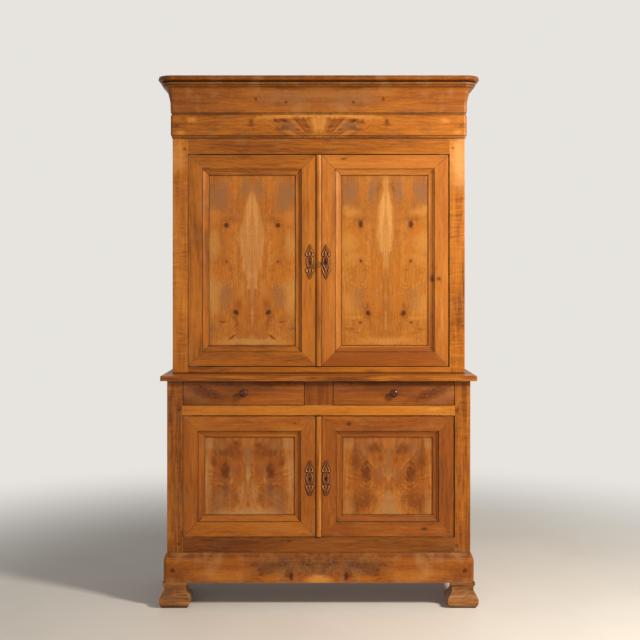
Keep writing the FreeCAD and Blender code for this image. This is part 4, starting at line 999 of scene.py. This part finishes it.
SCROLLS = [
    [(0.05, 0.47, 1), (0.2, 0.365, 1.3), (0.38, 0.27, 1.6), (0.46, 0.225, 1.9), (0.36, 0.19, 1.7),
     (0.27, 0.215, 1.3)],
    [(0.2, 0.155, 1.2), (0.33, 0.085, 1.5), (0.39, 0, 1.6), (0.34, -0.085, 1.5), (0.2, -0.16, 1.2)],
    [(0.28, -0.25, 1.3), (0.36, -0.222, 1.6), (0.46, -0.238, 1.9), (0.36, -0.29, 1.6), (0.24, -0.35, 1.3),
     (0.08, -0.46, 1)],
    [(0.04, 0.36, 0.9), (0.09, 0.29, 1.2), (0.03, 0.225, 1.4), (0.13, 0.17, 1.2)],
    [(0.03, -0.41, 0.9), (0.09, -0.31, 1.2), (0.03, -0.235, 1.4), (0.12, -0.18, 1.2)],
]
PIERCINGS = [(0.215, 0.238, 0.105, 0.036, -0.5), (0.215, -0.262, 0.105, 0.04, 0.5)]
BOSSES = [(0, 0.47, 0.0021), (0, -0.47, 0.0022), (0.455, 0.205, 0.0022), (0.455, -0.245, 0.0022)]
BOSS_SHAPE = (1, 0.75, 1.2, 1)
PLATE_THICKNESS = 0.003
PLATE_BEVEL = 0.0008
SCROLL_THICKNESS = 0.00125
SCROLL_REACH = 0.93
# Keyhole: radius, half width of its slot, drop; the collar round it: half width, half height, rise, rod
KEYHOLE = (0.0048, 0.0032, 0.013)
KEYHOLE_SIDES = 20
COLLAR = (0.0082, 0.015, -0.004, 0.0013)


def keyhole_outline(radius, half_slot, drop):
    """Points round a keyhole: a circle with a slot below it."""
    start = math.asin(half_slot / radius)
    ring = []
    for k in range(KEYHOLE_SIDES + 1):
        turn = -math.pi / 2 + start + (math.tau - 2 * start) * k / KEYHOLE_SIDES
        ring.append((radius * math.cos(turn), radius * math.sin(turn)))
    return ring + [(-half_slot, -drop), (half_slot, -drop)]


def plate_mesh(name, loops):
    """A plate with softened edges that fills an outline but not the loops within it, its back at y 0."""
    curve = bpy.data.curves.new(name, "CURVE")
    curve.dimensions = "2D"
    curve.fill_mode = "BOTH"
    curve.extrude = PLATE_THICKNESS / 2 - PLATE_BEVEL
    curve.bevel_depth = PLATE_BEVEL
    curve.bevel_resolution = 1
    for loop in loops:
        spline = curve.splines.new("POLY")
        spline.points.add(len(loop) - 1)
        for point, (x, z) in zip(spline.points, loop):
            point.co = (x, z, 0, 1)
        spline.use_cyclic_u = True
    holder = put(name, curve)
    bpy.context.view_layer.update()
    plate = bpy.data.meshes.new_from_object(holder.evaluated_get(bpy.context.evaluated_depsgraph_get()))
    bpy.data.objects.remove(holder)
    plate.transform(Matrix.Translation((0, -PLATE_THICKNESS / 2, 0)) @ Matrix.Rotation(math.radians(90), 4, "X"))
    return plate


def escutcheon_mesh(name, level, width, height):
    """One escutcheon at the origin, facing -Y."""
    shares = ESCUTCHEON_LOWER_ENDS[level] + ESCUTCHEON_MIDDLE + ESCUTCHEON_UPPER_END
    half = [(x * width, z * height) for x, z in through(shares, 3)]
    loops = [half + [(-x, z) for x, z in reversed(half[1:-1])], keyhole_outline(*KEYHOLE)]
    for x, z, half_width, half_height, lean in PIERCINGS:
        for sign in (1, -1):
            loop = []
            for turn in turns(12):
                rise = half_height * height * math.sin(turn)
                loop.append((sign * (x * width + half_width * width * math.cos(turn) + rise * lean), z * height + rise))
            loops.append(loop)
    plate = plate_mesh(name, loops)
    work = bmesh.new()
    work.from_mesh(plate)
    for scroll in SCROLLS:
        for sign in (1, -1):
            path = [
                (sign * x * width * SCROLL_REACH, -PLATE_THICKNESS, z * height, thick * SCROLL_THICKNESS)
                for x, z, thick in through(scroll, 5)
            ]
            add_tube(work, path, 8)
    across, along, rise, rod = COLLAR
    oval = [(across * math.cos(turn), -PLATE_THICKNESS, rise + along * math.sin(turn), rod) for turn in turns(28)]
    add_tube(work, oval, 8, closed=True)
    for x, z, radius in BOSSES:
        for sign in (1, -1) if x else (1,):
            place = Matrix.Translation((sign * x * width, -PLATE_THICKNESS, z * height))
            bmesh.ops.create_uvsphere(
                work, u_segments=12, v_segments=8, radius=radius, matrix=place @ Matrix.Diagonal(BOSS_SHAPE),
            )
    work.to_mesh(plate)
    work.free()
    return smooth(plate, 35)


def escutcheon(door):
    node = f"{door}_escutcheon"
    low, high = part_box(node)
    x, _, z = middle_of((low, high))
    mesh = escutcheon_mesh(node + "_cast", door.split("_")[0], high[0] - low[0], high[2] - low[2])
    mesh.transform(Matrix.Translation((x, high[1], z)))
    show(node + "_cast", mesh, f"{door}_door", "escutcheon_brass", [node])


# The key, in wrought iron: the turned barrel, the bow's ring, pinched where it meets the barrel, and the bit
KEY_BARREL_PROFILE = [
    (0, 0), (0.0035, 0), (0.0035, 0.044), (0.0046, 0.045), (0.0052, 0.0468), (0.0044, 0.0484), (0.0038, 0.0492),
    (0.005, 0.0504), (0.0056, 0.0524), (0.0046, 0.0544), (0.0036, 0.0552), (0.0036, 0.0585), (0, 0.059),
]
BOW_LENGTH = 0.0248
BOW_RADIUS = 0.0096
BOW_ROD = 0.0028
BOW_PINCH = 0.1
PINCH_SPREAD = 0.5
BIT_THICKNESS = 0.003
BIT_LENGTH = 0.008
BIT_DROP = 0.012
BIT_EDGE = 0.0003


def add_key(work, low, high):
    x = (low[0] + high[0]) / 2
    bow_y = low[1] + BOW_LENGTH / 2
    z = high[2] - BOW_LENGTH / 2
    back = high[1]
    add_turning(work, KEY_BARREL_PROFILE, (x, back, z), 24)
    ring = []
    for turn in turns(40):
        pinch = 1 - BOW_PINCH * math.exp(-((turn - math.pi) / PINCH_SPREAD) ** 2)
        ring.append((
            x, bow_y + BOW_RADIUS * pinch * math.cos(turn + math.pi), z + BOW_RADIUS * math.sin(turn), BOW_ROD,
        ))
    add_tube(work, ring, 12, closed=True)
    half = BIT_THICKNESS / 2
    add_block(work, (x - half, back - BIT_LENGTH, z - BIT_DROP), (x + half, back, z), BIT_EDGE)


for side in ("left", "right"):
    drawer_front(side)
for door in PANELS:
    escutcheon(door)
show("key_iron", smooth(mesh_of("key_iron", add_key, *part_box("key")), 40), "key", "key_steel", ["key"])


def seen_directly(tree):
    """1 on rays from the camera, and on those that a gloss or glass sends on, else 0."""
    path = tree.nodes.new("ShaderNodeLightPath")
    rays = [Field(tree, path.outputs[f"Is {kind} Ray"]) for kind in ("Camera", "Glossy", "Transmission")]
    return reduce(Field.most, rays)


def add_floor():
    """A pale floor that fades into the backdrop."""
    mesh = bpy.data.meshes.new("floor")
    corners = [(x * FLOOR_REACH, y * FLOOR_REACH, 0) for x, y in ((-1, -1), (1, -1), (1, 1), (-1, 1))]
    mesh.from_pydata(corners, [], [(0, 1, 2, 3)])
    s = Finish("floor_plain")
    clouds = s.noise(s.x * 2, s.y * 2, s.z, detail=4)
    grit = s.noise(s.x * 90, s.y * 90, s.z, detail=2)
    s.colour = s.mix(clouds.between(0.3, 0.7), FLOOR_DARK, FLOOR_LIGHT)
    s.finish(0.6 + grit.swing(0.1), grit, 0.0002)
    glow = s.field("Emission", {"Color": BACKDROP, "Strength": BACKDROP_LEVEL})
    far = s.length(s.x, s.y).between(*FLOOR_FADE) * seen_directly(s.tree)
    blend = s.field("MixShader", {0: far, 1: Field(s.tree, s.surface.outputs[0]), 2: glow})
    plug(s.tree, s.tree.nodes["Material Output"].inputs["Surface"], blend)
    mesh.materials.append(s.material)
    floor = put("floor", mesh)


def add_world():
    world = bpy.data.worlds.new("studio")
    bpy.context.scene.world = world
    world.use_nodes = True
    tree = world.node_tree
    background = tree.nodes["Background"]
    plug(tree, background.inputs["Color"], BACKDROP)
    plug(tree, background.inputs["Strength"], seen_directly(tree).between(0, 1, WORLD_LEVEL, BACKDROP_LEVEL))


def add_lamps():
    for name, place, target, size, energy, shade in LAMPS:
        light = bpy.data.lights.new(name, "AREA")
        light.shape = "DISK"
        light.size = size
        light.energy = energy
        light.color = linear(shade)[:3]
        lamp = put(name, light)
        lamp.location = place
        lamp.rotation_euler = (Vector(target) - Vector(place)).to_track_quat("-Z", "Y").to_euler()


def add_camera():
    data = bpy.data.cameras.new("photo_camera")
    data.lens = CAMERA_LENS
    data.sensor_width = CAMERA_SENSOR
    data.shift_x = CAMERA_SHIFT_X
    data.shift_y = CAMERA_SHIFT_Y
    camera = put("photo_camera", data)
    camera.location = CAMERA_PLACE
    camera.rotation_euler = (math.radians(90), 0, 0)
    bpy.context.scene.camera = camera
    bpy.context.scene.view_settings.view_transform = "Standard"


add_floor()
add_world()
add_lamps()
add_camera()
